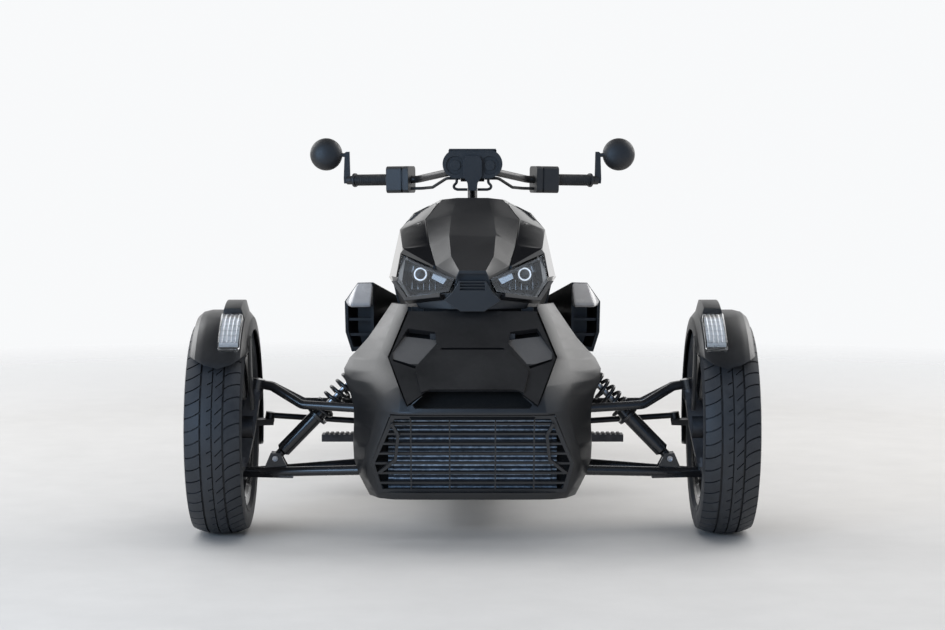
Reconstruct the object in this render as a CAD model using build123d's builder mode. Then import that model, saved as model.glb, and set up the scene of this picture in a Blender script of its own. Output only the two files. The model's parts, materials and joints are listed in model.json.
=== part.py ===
from build123d import *
import math
import os
from collections import namedtuple

os.makedirs("parts", exist_ok=True)

# Layout. Forward is -Y, up is +Z, the rider's left is +X. All sizes are in mm.
wheelbase = 1709
overall_width = 1509
front_zone = 200
rear_zone = 560
middle_bay = 949

front_tyre_radius = 290
front_tyre_width = 150
front_sidewall_share = 0.3
rear_tyre_radius = 303
rear_tyre_width = 210
rear_sidewall_share = 0.373
rear_fender_gap = 50

front_sidewall = front_sidewall_share * front_tyre_radius
rear_sidewall = rear_sidewall_share * rear_tyre_radius
front_bead_radius = front_tyre_radius - front_sidewall
rear_bead_radius = rear_tyre_radius - rear_sidewall
rear_overhang = rear_tyre_radius + rear_fender_gap
front_axle_y = front_tyre_radius - (front_tyre_radius + wheelbase + rear_overhang) / 2
rear_axle_y = front_axle_y + wheelbase
front_wheel_x = (overall_width - front_tyre_width) / 2

# Gaps. A seat gap lies between pieces that rest on each other, a run gap is round a pin.
seat_gap = 0.3
run_gap = 0.05
moving_gap = 5.0


def behind(distance):
    """Gives the Y of a station that is drawn this far behind the front axle.

    Stations in the front zone keep to the front axle and those in the rear zone to the rear axle.
    The middle bay between them takes up a change of wheelbase.
    """
    if distance <= front_zone:
        return front_axle_y + distance
    past = distance - front_zone - middle_bay
    if past >= 0:
        return rear_axle_y - rear_zone + past
    bay = wheelbase - front_zone - rear_zone
    return front_axle_y + front_zone + (distance - front_zone) * bay / middle_bay


def save(builder, name):
    builder.part.label = name
    export_step(builder.part, "parts/" + name + ".step")


def outline(plane, points):
    """Draws a closed face of straight edges on a plane."""
    with BuildSketch(plane) as drawing:
        with BuildLine():
            Polyline(*points, close=True)
        make_face()
    return drawing.sketch


def station_plane(distance):
    """Gives a cross plane whose first axis is +X and second axis is +Z."""
    return Plane(origin=(0, behind(distance), 0), x_dir=(1, 0, 0), z_dir=(0, -1, 0))


def side_plane(x):
    """Gives a lengthwise plane whose first axis is +Y and second axis is +Z."""
    return Plane(origin=(x, 0, 0), x_dir=(0, 1, 0), z_dir=(1, 0, 0))


def both_sides(half):
    """Closes a half outline of (x, z) points, all at positive x, with its mirror image."""
    return half + [(-x, z) for x, z in reversed(half)]


def tube(points, radius, bend):
    """Sweeps a round bar along straight runs joined by bends."""
    with BuildLine() as route:
        if len(points) > 2:
            FilletPolyline(*points, radius=bend)
        else:
            Line(*points)
    with BuildSketch(Plane(origin=route.line @ 0, z_dir=route.line % 0)) as section:
        Circle(radius)
    sweep(section.sketch, path=route.line)


def boss(plane, start, radius, length, mode=Mode.ADD):
    """Adds a round boss that runs up a plane's normal."""
    with BuildSketch(plane.offset(start)) as section:
        Circle(radius)
    extrude(section.sketch, amount=length, mode=mode)


def block(low, high, mode=Mode.ADD):
    """Adds a square block between two corners."""
    with BuildSketch(Plane(origin=((low[0] + high[0]) / 2, (low[1] + high[1]) / 2, low[2]))) as section:
        Rectangle(high[0] - low[0], high[1] - low[1])
    extrude(section.sketch, amount=high[2] - low[2], mode=mode)


# Wheels. Each is a tyre, a rim and a brake disc that turn together.
bead_inset = 18
shoulder_inset = 22
bulge_share = 0.6
lip_width = 5
lip_height = 11
barrel_wall = 13
hub_radius = 52
bore_radius = 18
spindle_radius = bore_radius - run_gap
disc_thickness = 5


def make_tyre(centre, width, radius, bead_radius):
    half_width = width / 2
    half = [
        (half_width - bead_inset, bead_radius),
        (half_width, bead_radius + bulge_share * (radius - bead_radius)),
        (half_width - shoulder_inset, radius),
    ]
    with BuildPart() as tyre:
        face = outline(Plane(origin=centre, x_dir=(1, 0, 0), z_dir=(0, -1, 0)), both_sides(half))
        revolve(face, axis=Axis(centre, (1, 0, 0)))
    return tyre


def make_rim(centre, side, width, sidewall, bead_radius, hub_out, hub_in, spoke_out):
    """Makes a rim whose spokes lie on the given side and whose hub is bored from the other."""
    seat_half = width / 2 - bead_inset + seat_gap
    lip_half = seat_half + lip_height * bead_inset / (bulge_share * sidewall)
    seat_radius = bead_radius - seat_gap
    inner_radius = bead_radius - barrel_wall
    half = [
        (seat_half, seat_radius),
        (lip_half, bead_radius + lip_height),
        (lip_half + lip_width, bead_radius + lip_height),
        (seat_half + lip_width, inner_radius + 5),
        (seat_half - 4, inner_radius),
    ]
    spoke_plane = Plane(
        origin=(centre[0] + side * spoke_out, centre[1], centre[2]), x_dir=(0, 1, 0), z_dir=(side, 0, 0)
    )
    spoke_reach = inner_radius + 3
    with BuildPart() as rim:
        face = outline(Plane(origin=centre, x_dir=(1, 0, 0), z_dir=(0, -1, 0)), both_sides(half))
        revolve(face, axis=Axis(centre, (1, 0, 0)))
        boss(spoke_plane, hub_in - spoke_out, hub_radius, hub_out - hub_in)
        with BuildSketch(spoke_plane):
            with PolarLocations(0, 5):
                Polygon((40, 1), (40, 24), (spoke_reach, 52), (spoke_reach, 34), align=None)
                Polygon((40, -1), (spoke_reach, -34), (spoke_reach, -52), (40, -24), align=None)
        extrude(amount=-24)
        boss(spoke_plane, hub_in - spoke_out, bore_radius, hub_out - 12 - hub_in, Mode.SUBTRACT)
    return rim


def make_disc(centre, side, face, radius):
    """Makes a brake disc that sits round the hub."""
    plane = Plane(origin=centre, x_dir=(0, 1, 0), z_dir=(side, 0, 0))
    with BuildPart() as disc:
        with BuildSketch(plane.offset(face)):
            Circle(radius)
            Circle(hub_radius + seat_gap, mode=Mode.SUBTRACT)
        extrude(amount=disc_thickness)
    return disc


front_hub_out = 46
front_hub_in = -20
front_spoke_out = 44
front_disc_face = -15
front_disc_radius = 0.665 * front_bead_radius
rear_hub_out = 40
rear_hub_in = -66
rear_spoke_out = 34
rear_disc_face = -64
rear_disc_radius = 0.579 * rear_bead_radius

left_wheel_centre = (front_wheel_x, front_axle_y, front_tyre_radius)
right_wheel_centre = (-front_wheel_x, front_axle_y, front_tyre_radius)
rear_wheel_centre = (0, rear_axle_y, rear_tyre_radius)

front_rim_sizes = (front_tyre_width, front_sidewall, front_bead_radius)
front_rim_sizes += (front_hub_out, front_hub_in, front_spoke_out)
rear_rim_sizes = (rear_tyre_width, rear_sidewall, rear_bead_radius)
rear_rim_sizes += (rear_hub_out, rear_hub_in, rear_spoke_out)
for side_name, side, centre in (("left", 1, left_wheel_centre), ("right", -1, right_wheel_centre)):
    tyre = make_tyre(centre, front_tyre_width, front_tyre_radius, front_bead_radius)
    save(tyre, "tyre_front_" + side_name)
    save(make_rim(centre, side, *front_rim_sizes), "rim_front_" + side_name)
    save(make_disc(centre, side, front_disc_face, front_disc_radius), "disc_front_" + side_name)

save(make_tyre(rear_wheel_centre, rear_tyre_width, rear_tyre_radius, rear_bead_radius), "tyre_rear")
save(make_rim(rear_wheel_centre, -1, *rear_rim_sizes), "rim_rear")
save(make_disc(rear_wheel_centre, -1, rear_disc_face, rear_disc_radius), "disc_rear")

# Steering knuckles. The kingpin leans in at the top, and the arms carry a stud at each end of it.
king_low = (front_wheel_x - 51.5, front_axle_y, front_tyre_radius - 94)
king_high = (front_wheel_x - 87.5, front_axle_y, front_tyre_radius + 90)
king_axis = (Vector(*king_high) - Vector(*king_low)).normalized()
king_length = (Vector(*king_high) - Vector(*king_low)).length
king_plane = Plane(origin=king_low, x_dir=(0, 1, 0), z_dir=king_axis)
eye_radius = 22
eye_half = 13
stud_radius = 9
stud_reach = 20

steer_arm_back = 95
steer_arm_in = 46
steer_arm_along = 108
steer_arm_thickness = 16
rod_eye_radius = 13
rod_eye_height = 18
rod_stud_radius = 6
steer_arm_plane = Plane(
    origin=Vector(*king_low) + king_axis * (steer_arm_along + steer_arm_thickness / 2),
    x_dir=(0, 1, 0),
    z_dir=king_axis,
)
rod_stud_point = steer_arm_plane.from_local_coords(Vector(steer_arm_back, steer_arm_in, 0))
rod_stud_plane = Plane(origin=rod_stud_point, x_dir=(0, 1, 0), z_dir=king_axis)

caliper_gap = moving_gap
disc_inner_x = front_wheel_x + front_disc_face
caliper_reach = front_disc_radius + 26
caliper_angle = 42


def king_x(z):
    """Gives the kingpin's X at a height."""
    return king_low[0] + (king_high[0] - king_low[0]) * (z - king_low[2]) / (king_high[2] - king_low[2])


def axle_point(angle, radius):
    """Gives the (y, z) of a point at an angle above straight back of the front axle."""
    turn = math.radians(angle)
    return (front_axle_y + radius * math.cos(turn), front_tyre_radius + radius * math.sin(turn))


spindle_root = king_x(front_tyre_radius) - 14

with BuildPart() as knuckle_left:
    upright = [
        (king_low[0] - 18, king_low[2] - 4),
        (king_low[0] + 14, king_low[2] - 4),
        (king_x(front_tyre_radius) + 22, front_tyre_radius - 40),
        (king_x(front_tyre_radius) + 22, front_tyre_radius + 30),
        (king_high[0] + 14, king_high[2] + 4),
        (king_high[0] - 16, king_high[2] + 4),
        (king_x(front_tyre_radius) - 20, front_tyre_radius),
    ]
    face = outline(Plane(origin=(0, front_axle_y + 20, 0), x_dir=(1, 0, 0), z_dir=(0, -1, 0)), upright)
    extrude(face, amount=40)
    boss(king_plane, -eye_half, eye_radius, 2 * eye_half)
    boss(king_plane, king_length - eye_half, eye_radius - 2, 2 * eye_half)
    spindle_plane = Plane(
        origin=(spindle_root, front_axle_y, front_tyre_radius), x_dir=(0, 1, 0), z_dir=(1, 0, 0)
    )
    carrier_length = front_wheel_x + front_hub_in - moving_gap - spindle_root
    boss(spindle_plane, 0, 36, carrier_length)
    boss(spindle_plane, 0, spindle_radius, front_wheel_x + front_hub_out - 20 - spindle_root)
    # Steering arm, square to the kingpin, from the upright back to the tie rod's stud.
    face = outline(
        steer_arm_plane,
        [
            (8, -14),
            (8, 18),
            (steer_arm_back - 4, steer_arm_in + 14),
            (steer_arm_back + 12, steer_arm_in + 10),
            (steer_arm_back + 12, steer_arm_in - 10),
            (steer_arm_back - 10, steer_arm_in - 14),
        ],
    )
    extrude(face, amount=-steer_arm_thickness)
    boss(rod_stud_plane, 0, rod_stud_radius, rod_eye_height + seat_gap)
    # Caliper, behind the axle, with a slot for the disc.
    caliper = [
        axle_point(caliper_angle - 18, front_disc_radius - 50),
        axle_point(caliper_angle - 15, caliper_reach),
        axle_point(caliper_angle + 15, caliper_reach),
        axle_point(caliper_angle + 18, front_disc_radius - 50),
    ]
    face = outline(side_plane(disc_inner_x - 34), caliper)
    extrude(face, amount=34 + disc_thickness + caliper_gap + 9)
    block(
        (king_x(front_tyre_radius) - 10, front_axle_y + 14, front_tyre_radius + 38),
        (disc_inner_x - 12, front_axle_y + 0.593 * front_disc_radius, front_tyre_radius + 70),
    )
    slot = [
        axle_point(caliper_angle - 40, 60),
        axle_point(caliper_angle - 24, front_disc_radius + 12),
        axle_point(caliper_angle, front_disc_radius + 12),
        axle_point(caliper_angle + 24, front_disc_radius + 12),
        axle_point(caliper_angle + 40, 60),
    ]
    face = outline(side_plane(disc_inner_x - caliper_gap), slot)
    extrude(face, amount=disc_thickness + 2 * caliper_gap, mode=Mode.SUBTRACT)
    boss(king_plane, -eye_half - 1, stud_radius + run_gap, 2 * eye_half + 2, Mode.SUBTRACT)
    boss(king_plane, king_length - eye_half - 1, stud_radius + run_gap, 2 * eye_half + 2, Mode.SUBTRACT)
save(knuckle_left, "knuckle_left")

with BuildPart() as knuckle_right:
    add(mirror(knuckle_left.part, about=Plane.YZ))
save(knuckle_right, "knuckle_right")

# Front fenders, which turn with the knuckles. Angles run from straight ahead up over the wheel.
fender_front_angle = 33
fender_rear_angle = 196
fender_gap = 18
fender_wall = 5
fender_radius = front_tyre_radius + fender_gap + fender_wall
fender_in = front_tyre_width / 2 + 4
fender_out = front_tyre_width / 2 - 9
skirt_depth = 48
lamp_inner = -68
lamp_outer = -11
lamp_angle_low = 45
lamp_angle_high = 72
hump_angle_high = 98
lamp_height = 24
strap_wall = 7
# Front view of the front edge, as (x from the wheel's middle, rise above the axle).
fender_edge = [(150, 232), (fender_out, 210), (20, 188), (-15, 180), (-50, 190)]
fender_edge += [(-fender_in - 10, 216), (-150, 250)]
fender_edge_reach = 220


def fender_plane(angle):
    """Gives a radial plane at an angle, first axis outward along X, second axis away from the axle."""
    turn = math.radians(angle)
    return Plane(origin=left_wheel_centre, x_dir=(1, 0, 0), z_dir=(0, -math.sin(turn), -math.cos(turn)))


fender_axis = Axis(left_wheel_centre, (-1, 0, 0))
fender_section = [
    (-fender_in - 8, fender_radius - skirt_depth),
    (-fender_in - 4, fender_radius - 14),
    (-fender_in + 7, fender_radius),
    (-fender_in + 26, fender_radius + 5),
    (fender_out - 40, fender_radius + 5),
    (fender_out - 19, fender_radius),
    (fender_out - 6, fender_radius - 11),
    (fender_out, fender_radius - 30),
    (fender_out - fender_wall, fender_radius - 30),
    (fender_out - 6 - fender_wall, fender_radius - 14),
    (fender_out - 21, fender_radius - fender_wall),
    (fender_out - 40, fender_radius),
    (-fender_in + 26, fender_radius),
    (-fender_in + 10, fender_radius - fender_wall),
    (-fender_in - 4 + fender_wall, fender_radius - 17),
    (-fender_in - 8 + fender_wall, fender_radius - skirt_depth),
]
with BuildPart() as fender_left:
    face = outline(fender_plane(fender_front_angle), fender_section)
    revolve(face, axis=fender_axis, revolution_arc=fender_rear_angle - fender_front_angle)
    face = outline(
        fender_plane(lamp_angle_high),
        [
            (lamp_inner - 3, fender_radius),
            (lamp_inner + 6, fender_radius + lamp_height + 8),
            (lamp_outer - 6, fender_radius + lamp_height + 8),
            (lamp_outer + 3, fender_radius),
        ],
    )
    revolve(face, axis=fender_axis, revolution_arc=hump_angle_high - lamp_angle_high)
    # The front edge dips towards the middle.
    edge = [(x + front_wheel_x, front_tyre_radius + rise) for x, rise in fender_edge]
    edge += [(front_wheel_x - 150, front_tyre_radius), (front_wheel_x + 150, front_tyre_radius)]
    face = outline(station_plane(-fender_radius - 60), edge)
    extrude(face, amount=-fender_edge_reach, mode=Mode.SUBTRACT)
    # Strap from the skirt's lower edge down to the knuckle's front face.
    strap_x = front_wheel_x - fender_in - 8
    face = outline(
        side_plane(strap_x - 2),
        [
            axle_point(123, fender_radius - skirt_depth + 12),
            axle_point(113, fender_radius - skirt_depth + 12),
            (front_axle_y - 62, front_tyre_radius + 96),
            (front_axle_y - 20 - seat_gap, front_tyre_radius + 82),
            (front_axle_y - 20 - seat_gap, front_tyre_radius + 48),
            (front_axle_y - 84, front_tyre_radius + 52),
        ],
    )
    extrude(face, amount=strap_wall)
save(fender_left, "fender_left")

with BuildPart() as fender_right:
    add(mirror(fender_left.part, about=Plane.YZ))
save(fender_right, "fender_right")

with BuildPart() as turn_lamp_left:
    face = outline(
        fender_plane(lamp_angle_low),
        [
            (lamp_inner, fender_radius + 5 + seat_gap),
            (lamp_inner + 5, fender_radius + lamp_height),
            (lamp_outer - 5, fender_radius + lamp_height),
            (lamp_outer, fender_radius + 5 + seat_gap),
        ],
    )
    revolve(face, axis=fender_axis, revolution_arc=lamp_angle_high - lamp_angle_low - 0.1)
save(turn_lamp_left, "turn_lamp_left")

with BuildPart() as turn_lamp_right:
    add(mirror(turn_lamp_left.part, about=Plane.YZ))
save(turn_lamp_right, "turn_lamp_right")

# Frame: lower rails, two cross hoops at the front, a spine, the steering sleeve and the seat rails.
rail_x = 165
rail_z = 185
rail_radius = 15
hoop_near = 60
hoop_far = 78
arm_pivot_reach = 22
arm_eye_radius = 17
lower_pivot_x = 205
lower_pivot_z = rail_z
upper_pivot_x = 225
upper_pivot_z = 345
pivot_station = hoop_far + seat_gap + arm_pivot_reach
ear_thickness = 8
bracket_end = hoop_far + 2 * arm_pivot_reach + 2 * seat_gap + ear_thickness
shock_top_x = 272
shock_top_z = 475
shock_low_x = king_low[0] - 92
shock_low_z = king_low[2] + 8
shock_eye_half = 13
shock_eye_radius = 15
deck_low = 452
deck_high = 478
spine_radius = 22
spine_bend = 700
spine_z = 560
swing_pivot_station = 1255
swing_pivot_z = rear_tyre_radius + 27
swing_pivot_half = 150
seat_rail_x = 85
seat_rail_z = rear_tyre_radius + 202
seat_rail_radius = 11
seat_rail_bend = 1260
seat_rail_end = 1600
seat_rail_rise = 135
rear_shock_x = 84
rear_shock_top = (1120, seat_rail_z - 31)
rear_shock_low = (1330, swing_pivot_z + 64)

# The steering column leans back at the top, and a pitman arm at its foot moves the tie rods.
column_top = (0, behind(512), 936)
column_foot = (0, behind(65), 340)
column_run = Vector(*column_foot) - Vector(*column_top)
column_length = column_run.length
column_down = column_run.normalized()
column_plane = Plane(origin=column_top, x_dir=(1, 0, 0), z_dir=column_down)
column_radius = 14
sleeve_start = 440
sleeve_length = 80
sleeve_point = Vector(*column_top) + column_down * (sleeve_start + sleeve_length / 2)

with BuildPart() as frame:
    tube(
        [
            (rail_x, behind(-bracket_end), rail_z),
            (rail_x, behind(1080), rail_z),
            (rail_x - 45, behind(swing_pivot_station), swing_pivot_z - 10),
        ],
        rail_radius,
        120,
    )
    for sign in (-1, 1):
        near = hoop_near if sign > 0 else -hoop_far
        face = outline(
            station_plane(near),
            [
                (0, rail_z - 12),
                (rail_x + 8, rail_z - 12),
                (upper_pivot_x - 22, upper_pivot_z - 24),
                (upper_pivot_x - 4, deck_high),
                (0, deck_high),
                (0, deck_low),
                (upper_pivot_x - 44, deck_low),
                (upper_pivot_x - 60, upper_pivot_z),
                (rail_x - 34, rail_z + 22),
                (0, rail_z + 22),
            ],
        )
        extrude(face, amount=-(hoop_far - hoop_near))
        for pivot_x, pivot_z in ((lower_pivot_x, lower_pivot_z), (upper_pivot_x, upper_pivot_z)):
            far = hoop_far + 2 * arm_pivot_reach + 2 * seat_gap
            ends = sorted((sign * hoop_near, sign * (far + ear_thickness)))
            ear = sorted((sign * far, sign * (far + ear_thickness)))
            block(
                (pivot_x - 52, behind(ends[0]), pivot_z - 16),
                (pivot_x - arm_eye_radius - 2, behind(ends[1]), pivot_z + 16),
            )
            block(
                (pivot_x - 40, behind(ear[0]), pivot_z - 16), (pivot_x + 18, behind(ear[1]), pivot_z + 16)
            )
            block(
                (pivot_x - 40, behind(sorted((sign * hoop_near, sign * hoop_far))[0]), pivot_z - 16),
                (pivot_x + 18, behind(sorted((sign * hoop_near, sign * hoop_far))[1]), pivot_z + 16),
            )
    block((0, behind(-hoop_far), deck_low), (upper_pivot_x - 4, behind(hoop_far), deck_high))
    for sign in (-1, 1):
        ear_near = shock_eye_half + seat_gap
        ears = sorted((sign * ear_near, sign * (ear_near + ear_thickness)))
        block(
            (upper_pivot_x - 40, behind(ears[0]), deck_low + 4),
            (shock_top_x + 12, behind(ears[1]), shock_top_z + 12),
        )
    tube([(140, behind(hoop_far - 10), deck_high - 14), (10, sleeve_point.Y, sleeve_point.Z)], 14, 10)
    tube(
        [
            (0, behind(885), seat_rail_z),
            (seat_rail_x, behind(985), seat_rail_z),
            (seat_rail_x, behind(seat_rail_bend), seat_rail_z),
            (seat_rail_x - 10, behind(seat_rail_end), seat_rail_z + seat_rail_rise),
        ],
        seat_rail_radius,
        60,
    )
    mirror(about=Plane.YZ)
    tube(
        [
            (0, sleeve_point.Y + 8, sleeve_point.Z),
            (0, behind(spine_bend), spine_z),
            (0, behind(1000), seat_rail_z - 35),
            (0, behind(1120), seat_rail_z - 65),
            (0, behind(swing_pivot_station), swing_pivot_z),
        ],
        spine_radius,
        90,
    )
    boss(column_plane, sleeve_start, column_radius + 12, sleeve_length)
    boss(column_plane, sleeve_start - 40, column_radius + run_gap, sleeve_length + 90, Mode.SUBTRACT)
    swing_pivot_start = (-swing_pivot_half, behind(swing_pivot_station), swing_pivot_z)
    boss(Plane(origin=swing_pivot_start, z_dir=(1, 0, 0)), 0, 30, 2 * swing_pivot_half)
    rear_shock_start = (-rear_shock_x, behind(rear_shock_top[0]), rear_shock_top[1])
    boss(Plane(origin=rear_shock_start, z_dir=(1, 0, 0)), 0, 14, 2 * rear_shock_x)
    boss(Plane(origin=(-rail_x, behind(320), rail_z), z_dir=(1, 0, 0)), 0, 12, 2 * rail_x)
save(frame, "frame")

# Front suspension arms, one solid a side.
arm_tube = 12
upper_arm_knee = 125
upper_boss = 28
lower_boss = 34
upper_boss_start = king_length + eye_half + seat_gap
lower_boss_top = -eye_half - seat_gap
upper_ball = Vector(*king_low) + king_axis * (upper_boss_start + upper_boss / 2)
lower_ball = Vector(*king_low) + king_axis * (lower_boss_top - 20)


def cross_eye(centre_x, distance, centre_z, half_length, radius):
    """Adds a lengthwise eye at the inner end of an arm."""
    plane = Plane(origin=(centre_x, behind(distance - half_length), centre_z), z_dir=(0, 1, 0))
    boss(plane, 0, radius, 2 * half_length)


with BuildPart() as upper_arms:
    for sign in (-1, 1):
        tube(
            [
                (upper_ball.X, upper_ball.Y, upper_ball.Z),
                (upper_ball.X - 42, behind(sign * 9), upper_ball.Z - 7),
                (upper_ball.X - upper_arm_knee, behind(sign * 38), upper_ball.Z - 54),
                (upper_pivot_x, behind(sign * pivot_station), upper_pivot_z),
            ],
            arm_tube,
            30,
        )
        cross_eye(upper_pivot_x, sign * pivot_station, upper_pivot_z, arm_pivot_reach, arm_eye_radius)
    boss(king_plane, upper_boss_start, eye_radius - 1, upper_boss)
    boss(king_plane, upper_boss_start - stud_reach, stud_radius, stud_reach + 2)
    mirror(about=Plane.YZ)
save(upper_arms, "upper_arms")

with BuildPart() as lower_arms:
    for sign in (-1, 1):
        tube(
            [
                (lower_ball.X, lower_ball.Y, lower_ball.Z),
                (lower_pivot_x, behind(sign * pivot_station), lower_pivot_z),
            ],
            arm_tube + 1,
            30,
        )
        cross_eye(lower_pivot_x, sign * pivot_station, lower_pivot_z, arm_pivot_reach, arm_eye_radius)
        ear_near = shock_eye_half + seat_gap
        ears = sorted((sign * ear_near, sign * (ear_near + ear_thickness)))
        face = outline(
            Plane(origin=(0, behind(ears[1]), 0), x_dir=(1, 0, 0), z_dir=(0, -1, 0)),
            [
                (shock_low_x - 40, lower_ball.Z + 2),
                (shock_low_x - 14, shock_low_z + 14),
                (shock_low_x + 12, shock_low_z + 16),
                (shock_low_x + 36, lower_ball.Z),
            ],
        )
        extrude(face, amount=ear_thickness)
    face = outline(
        Plane.XY.offset(lower_ball.Z - 10),
        [
            (lower_ball.X + 18, front_axle_y - 14),
            (lower_ball.X + 18, front_axle_y + 14),
            (shock_low_x - 50, front_axle_y + 42),
            (shock_low_x - 50, front_axle_y - 42),
        ],
    )
    extrude(face, amount=16)
    boss(king_plane, lower_boss_top - lower_boss, eye_radius, lower_boss)
    boss(king_plane, lower_boss_top - 2, stud_radius, stud_reach + 2)
    mirror(about=Plane.YZ)
save(lower_arms, "lower_arms")

# Front shocks. The coil is drawn as a stack of rings round the damper.
Ring = namedtuple("Ring", "start radius length")


def make_shock(low, high, eye_axis, eye_half_length, end_radius, body_radius, coil_radius, turns):
    low_point = Vector(*low)
    run = Vector(*high) - low_point
    length = run.length
    plane = Plane(origin=low_point, x_dir=eye_axis, z_dir=run.normalized())
    coil_start = 0.44 * length
    coil_end = length - 42
    pitch = (coil_end - coil_start) / turns
    rings = [
        Ring(8, body_radius * 0.62, 22),
        Ring(24, body_radius, coil_start - 24),
        Ring(coil_start - 10, coil_radius + 2, 10),
        Ring(coil_start - 1, coil_radius - 8, coil_end - coil_start + 2),
        Ring(coil_end, coil_radius + 1, 8),
        Ring(coil_end + 6, body_radius * 0.58, 30),
    ]
    rings += [Ring(coil_start + (turn + 0.25) * pitch, coil_radius, pitch * 0.5) for turn in range(turns)]
    with BuildPart() as shock:
        for ring in rings:
            boss(plane, ring.start, ring.radius, ring.length)
        for end in (low_point, Vector(*high)):
            eye_plane = Plane(origin=end - Vector(*eye_axis) * eye_half_length, z_dir=eye_axis)
            boss(eye_plane, 0, end_radius, 2 * eye_half_length)
    return shock


left_shock = make_shock(
    (shock_low_x, front_axle_y, shock_low_z),
    (shock_top_x, front_axle_y, shock_top_z),
    (0, 1, 0),
    shock_eye_half,
    shock_eye_radius,
    20,
    30,
    7,
)
with BuildPart() as front_shocks:
    add(left_shock.part)
    add(mirror(left_shock.part, about=Plane.YZ))
save(front_shocks, "front_shocks")

# Rear swingarm, one arm on the left that ends in the drive housing and carries the wheel's spindle.
swing_ear = 34
beam_low = swing_pivot_z - 30
beam_high = swing_pivot_z + 32
arm_in = rear_tyre_width / 2 + 20
arm_out = 190
housing_face = -rear_hub_in + 10
housing_radius = 72
with BuildPart() as swingarm:
    for sign in (-1, 1):
        ear_near = swing_pivot_half + seat_gap
        ear = sorted((sign * ear_near, sign * (ear_near + swing_ear)))
        plane = Plane(origin=(ear[0], behind(swing_pivot_station), swing_pivot_z), z_dir=(1, 0, 0))
        boss(plane, 0, 34, swing_ear)
        block(
            (ear[0], behind(swing_pivot_station), swing_pivot_z - 30),
            (ear[1], behind(swing_pivot_station + 90), swing_pivot_z + 32),
        )
    block(
        (-swing_pivot_half - 20, behind(swing_pivot_station + 40), beam_low),
        (swing_pivot_half + 20, behind(swing_pivot_station + 90), beam_high),
    )
    block(
        (rear_shock_x - 22, behind(rear_shock_low[0] - 16), beam_high - 10),
        (rear_shock_x, behind(rear_shock_low[0] + 14), rear_shock_low[1] + 16),
    )
    sections = [
        outline(
            station_plane(swing_pivot_station + 50),
            [
                (swing_pivot_half - 4, swing_pivot_z - 34),
                (arm_out - 4, swing_pivot_z - 34),
                (arm_out - 4, swing_pivot_z + 34),
                (swing_pivot_half - 4, swing_pivot_z + 34),
            ],
        ),
        outline(
            Plane(origin=(0, rear_axle_y, rear_tyre_radius), x_dir=(1, 0, 0), z_dir=(0, -1, 0)),
            [(arm_in, -45), (arm_out, -45), (arm_out, 45), (arm_in, 45)],
        ),
    ]
    loft(sections, ruled=True)
    hub_plane = Plane(origin=(housing_face, rear_axle_y, rear_tyre_radius), z_dir=(1, 0, 0))
    boss(hub_plane, 0, housing_radius, arm_out + 6 - housing_face)
    spindle_plane = Plane(
        origin=(-rear_hub_out + 20, rear_axle_y, rear_tyre_radius), z_dir=(1, 0, 0)
    )
    boss(spindle_plane, 0, spindle_radius, housing_face + rear_hub_out)
    # Rear caliper on the front of the drive housing.
    disc_left = -rear_disc_face
    block(
        (disc_left - disc_thickness - 24, rear_axle_y - 130, rear_tyre_radius + 20),
        (arm_in + 10, rear_axle_y - 66, rear_tyre_radius + 84),
    )
    block(
        (disc_left - disc_thickness - moving_gap, rear_axle_y - 118, rear_tyre_radius + 10),
        (disc_left + moving_gap, rear_axle_y - 50, rear_tyre_radius + 94),
        Mode.SUBTRACT,
    )
save(swingarm, "swingarm")

rear_shock_offset = rear_shock_x + seat_gap + 14
rear_shock = make_shock(
    (rear_shock_offset, behind(rear_shock_low[0]), rear_shock_low[1]),
    (rear_shock_offset, behind(rear_shock_top[0]), rear_shock_top[1]),
    (1, 0, 0),
    14,
    14,
    17,
    27,
    5,
)
save(rear_shock, "rear_shock")

# Rear fender, an arc over the back of the tyre on a stay from the swingarm.
rear_fender_wall = 6
rear_fender_half = rear_tyre_width / 2 + 10
rear_fender_low = -6
rear_fender_high = 84
stay_x = arm_out + 6 + seat_gap
stay_wall = 8


def rear_plane(angle):
    """Gives a radial plane at an angle above straight back, second axis away from the axle."""
    turn = math.radians(angle)
    return Plane(origin=rear_wheel_centre, x_dir=(1, 0, 0), z_dir=(0, -math.sin(turn), math.cos(turn)))


def rear_point(angle, radius):
    """Gives the (y, z) of a point at an angle above straight back."""
    turn = math.radians(angle)
    return (rear_axle_y + radius * math.cos(turn), rear_tyre_radius + radius * math.sin(turn))


rear_axis = Axis(rear_wheel_centre, (1, 0, 0))
with BuildPart() as rear_fender:
    half = [
        (rear_fender_half, rear_overhang - 26),
        (rear_fender_half, rear_overhang - 8),
        (rear_fender_half - 20, rear_overhang),
    ]
    inner = [
        (rear_fender_half - 20, rear_overhang - rear_fender_wall),
        (rear_fender_half - rear_fender_wall, rear_overhang - 8 - rear_fender_wall / 2),
        (rear_fender_half - rear_fender_wall, rear_overhang - 26),
    ]
    points = half + [(-x, r) for x, r in reversed(half)]
    points += [(-x, r) for x, r in reversed(inner)] + inner
    face = outline(rear_plane(rear_fender_low), points)
    revolve(face, axis=rear_axis, revolution_arc=rear_fender_high - rear_fender_low)
    stay = [
        (rear_axle_y - 30, rear_tyre_radius - 26),
        (rear_axle_y + 40, rear_tyre_radius - 20),
        rear_point(34, rear_overhang - 26),
        rear_point(38, rear_overhang - 4),
        rear_point(56, rear_overhang - 4),
        rear_point(60, rear_overhang - 26),
        (rear_axle_y - 36, rear_tyre_radius + 30),
    ]
    face = outline(side_plane(stay_x), stay)
    extrude(face, amount=stay_wall)
    shelf = [
        rear_point(39, rear_overhang - 24),
        rear_point(39, rear_overhang - 8),
        rear_point(55, rear_overhang - 8),
        rear_point(55, rear_overhang - 24),
    ]
    face = outline(side_plane(rear_fender_half - 4), shelf)
    extrude(face, amount=stay_x + 4 - rear_fender_half + 4)
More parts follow.
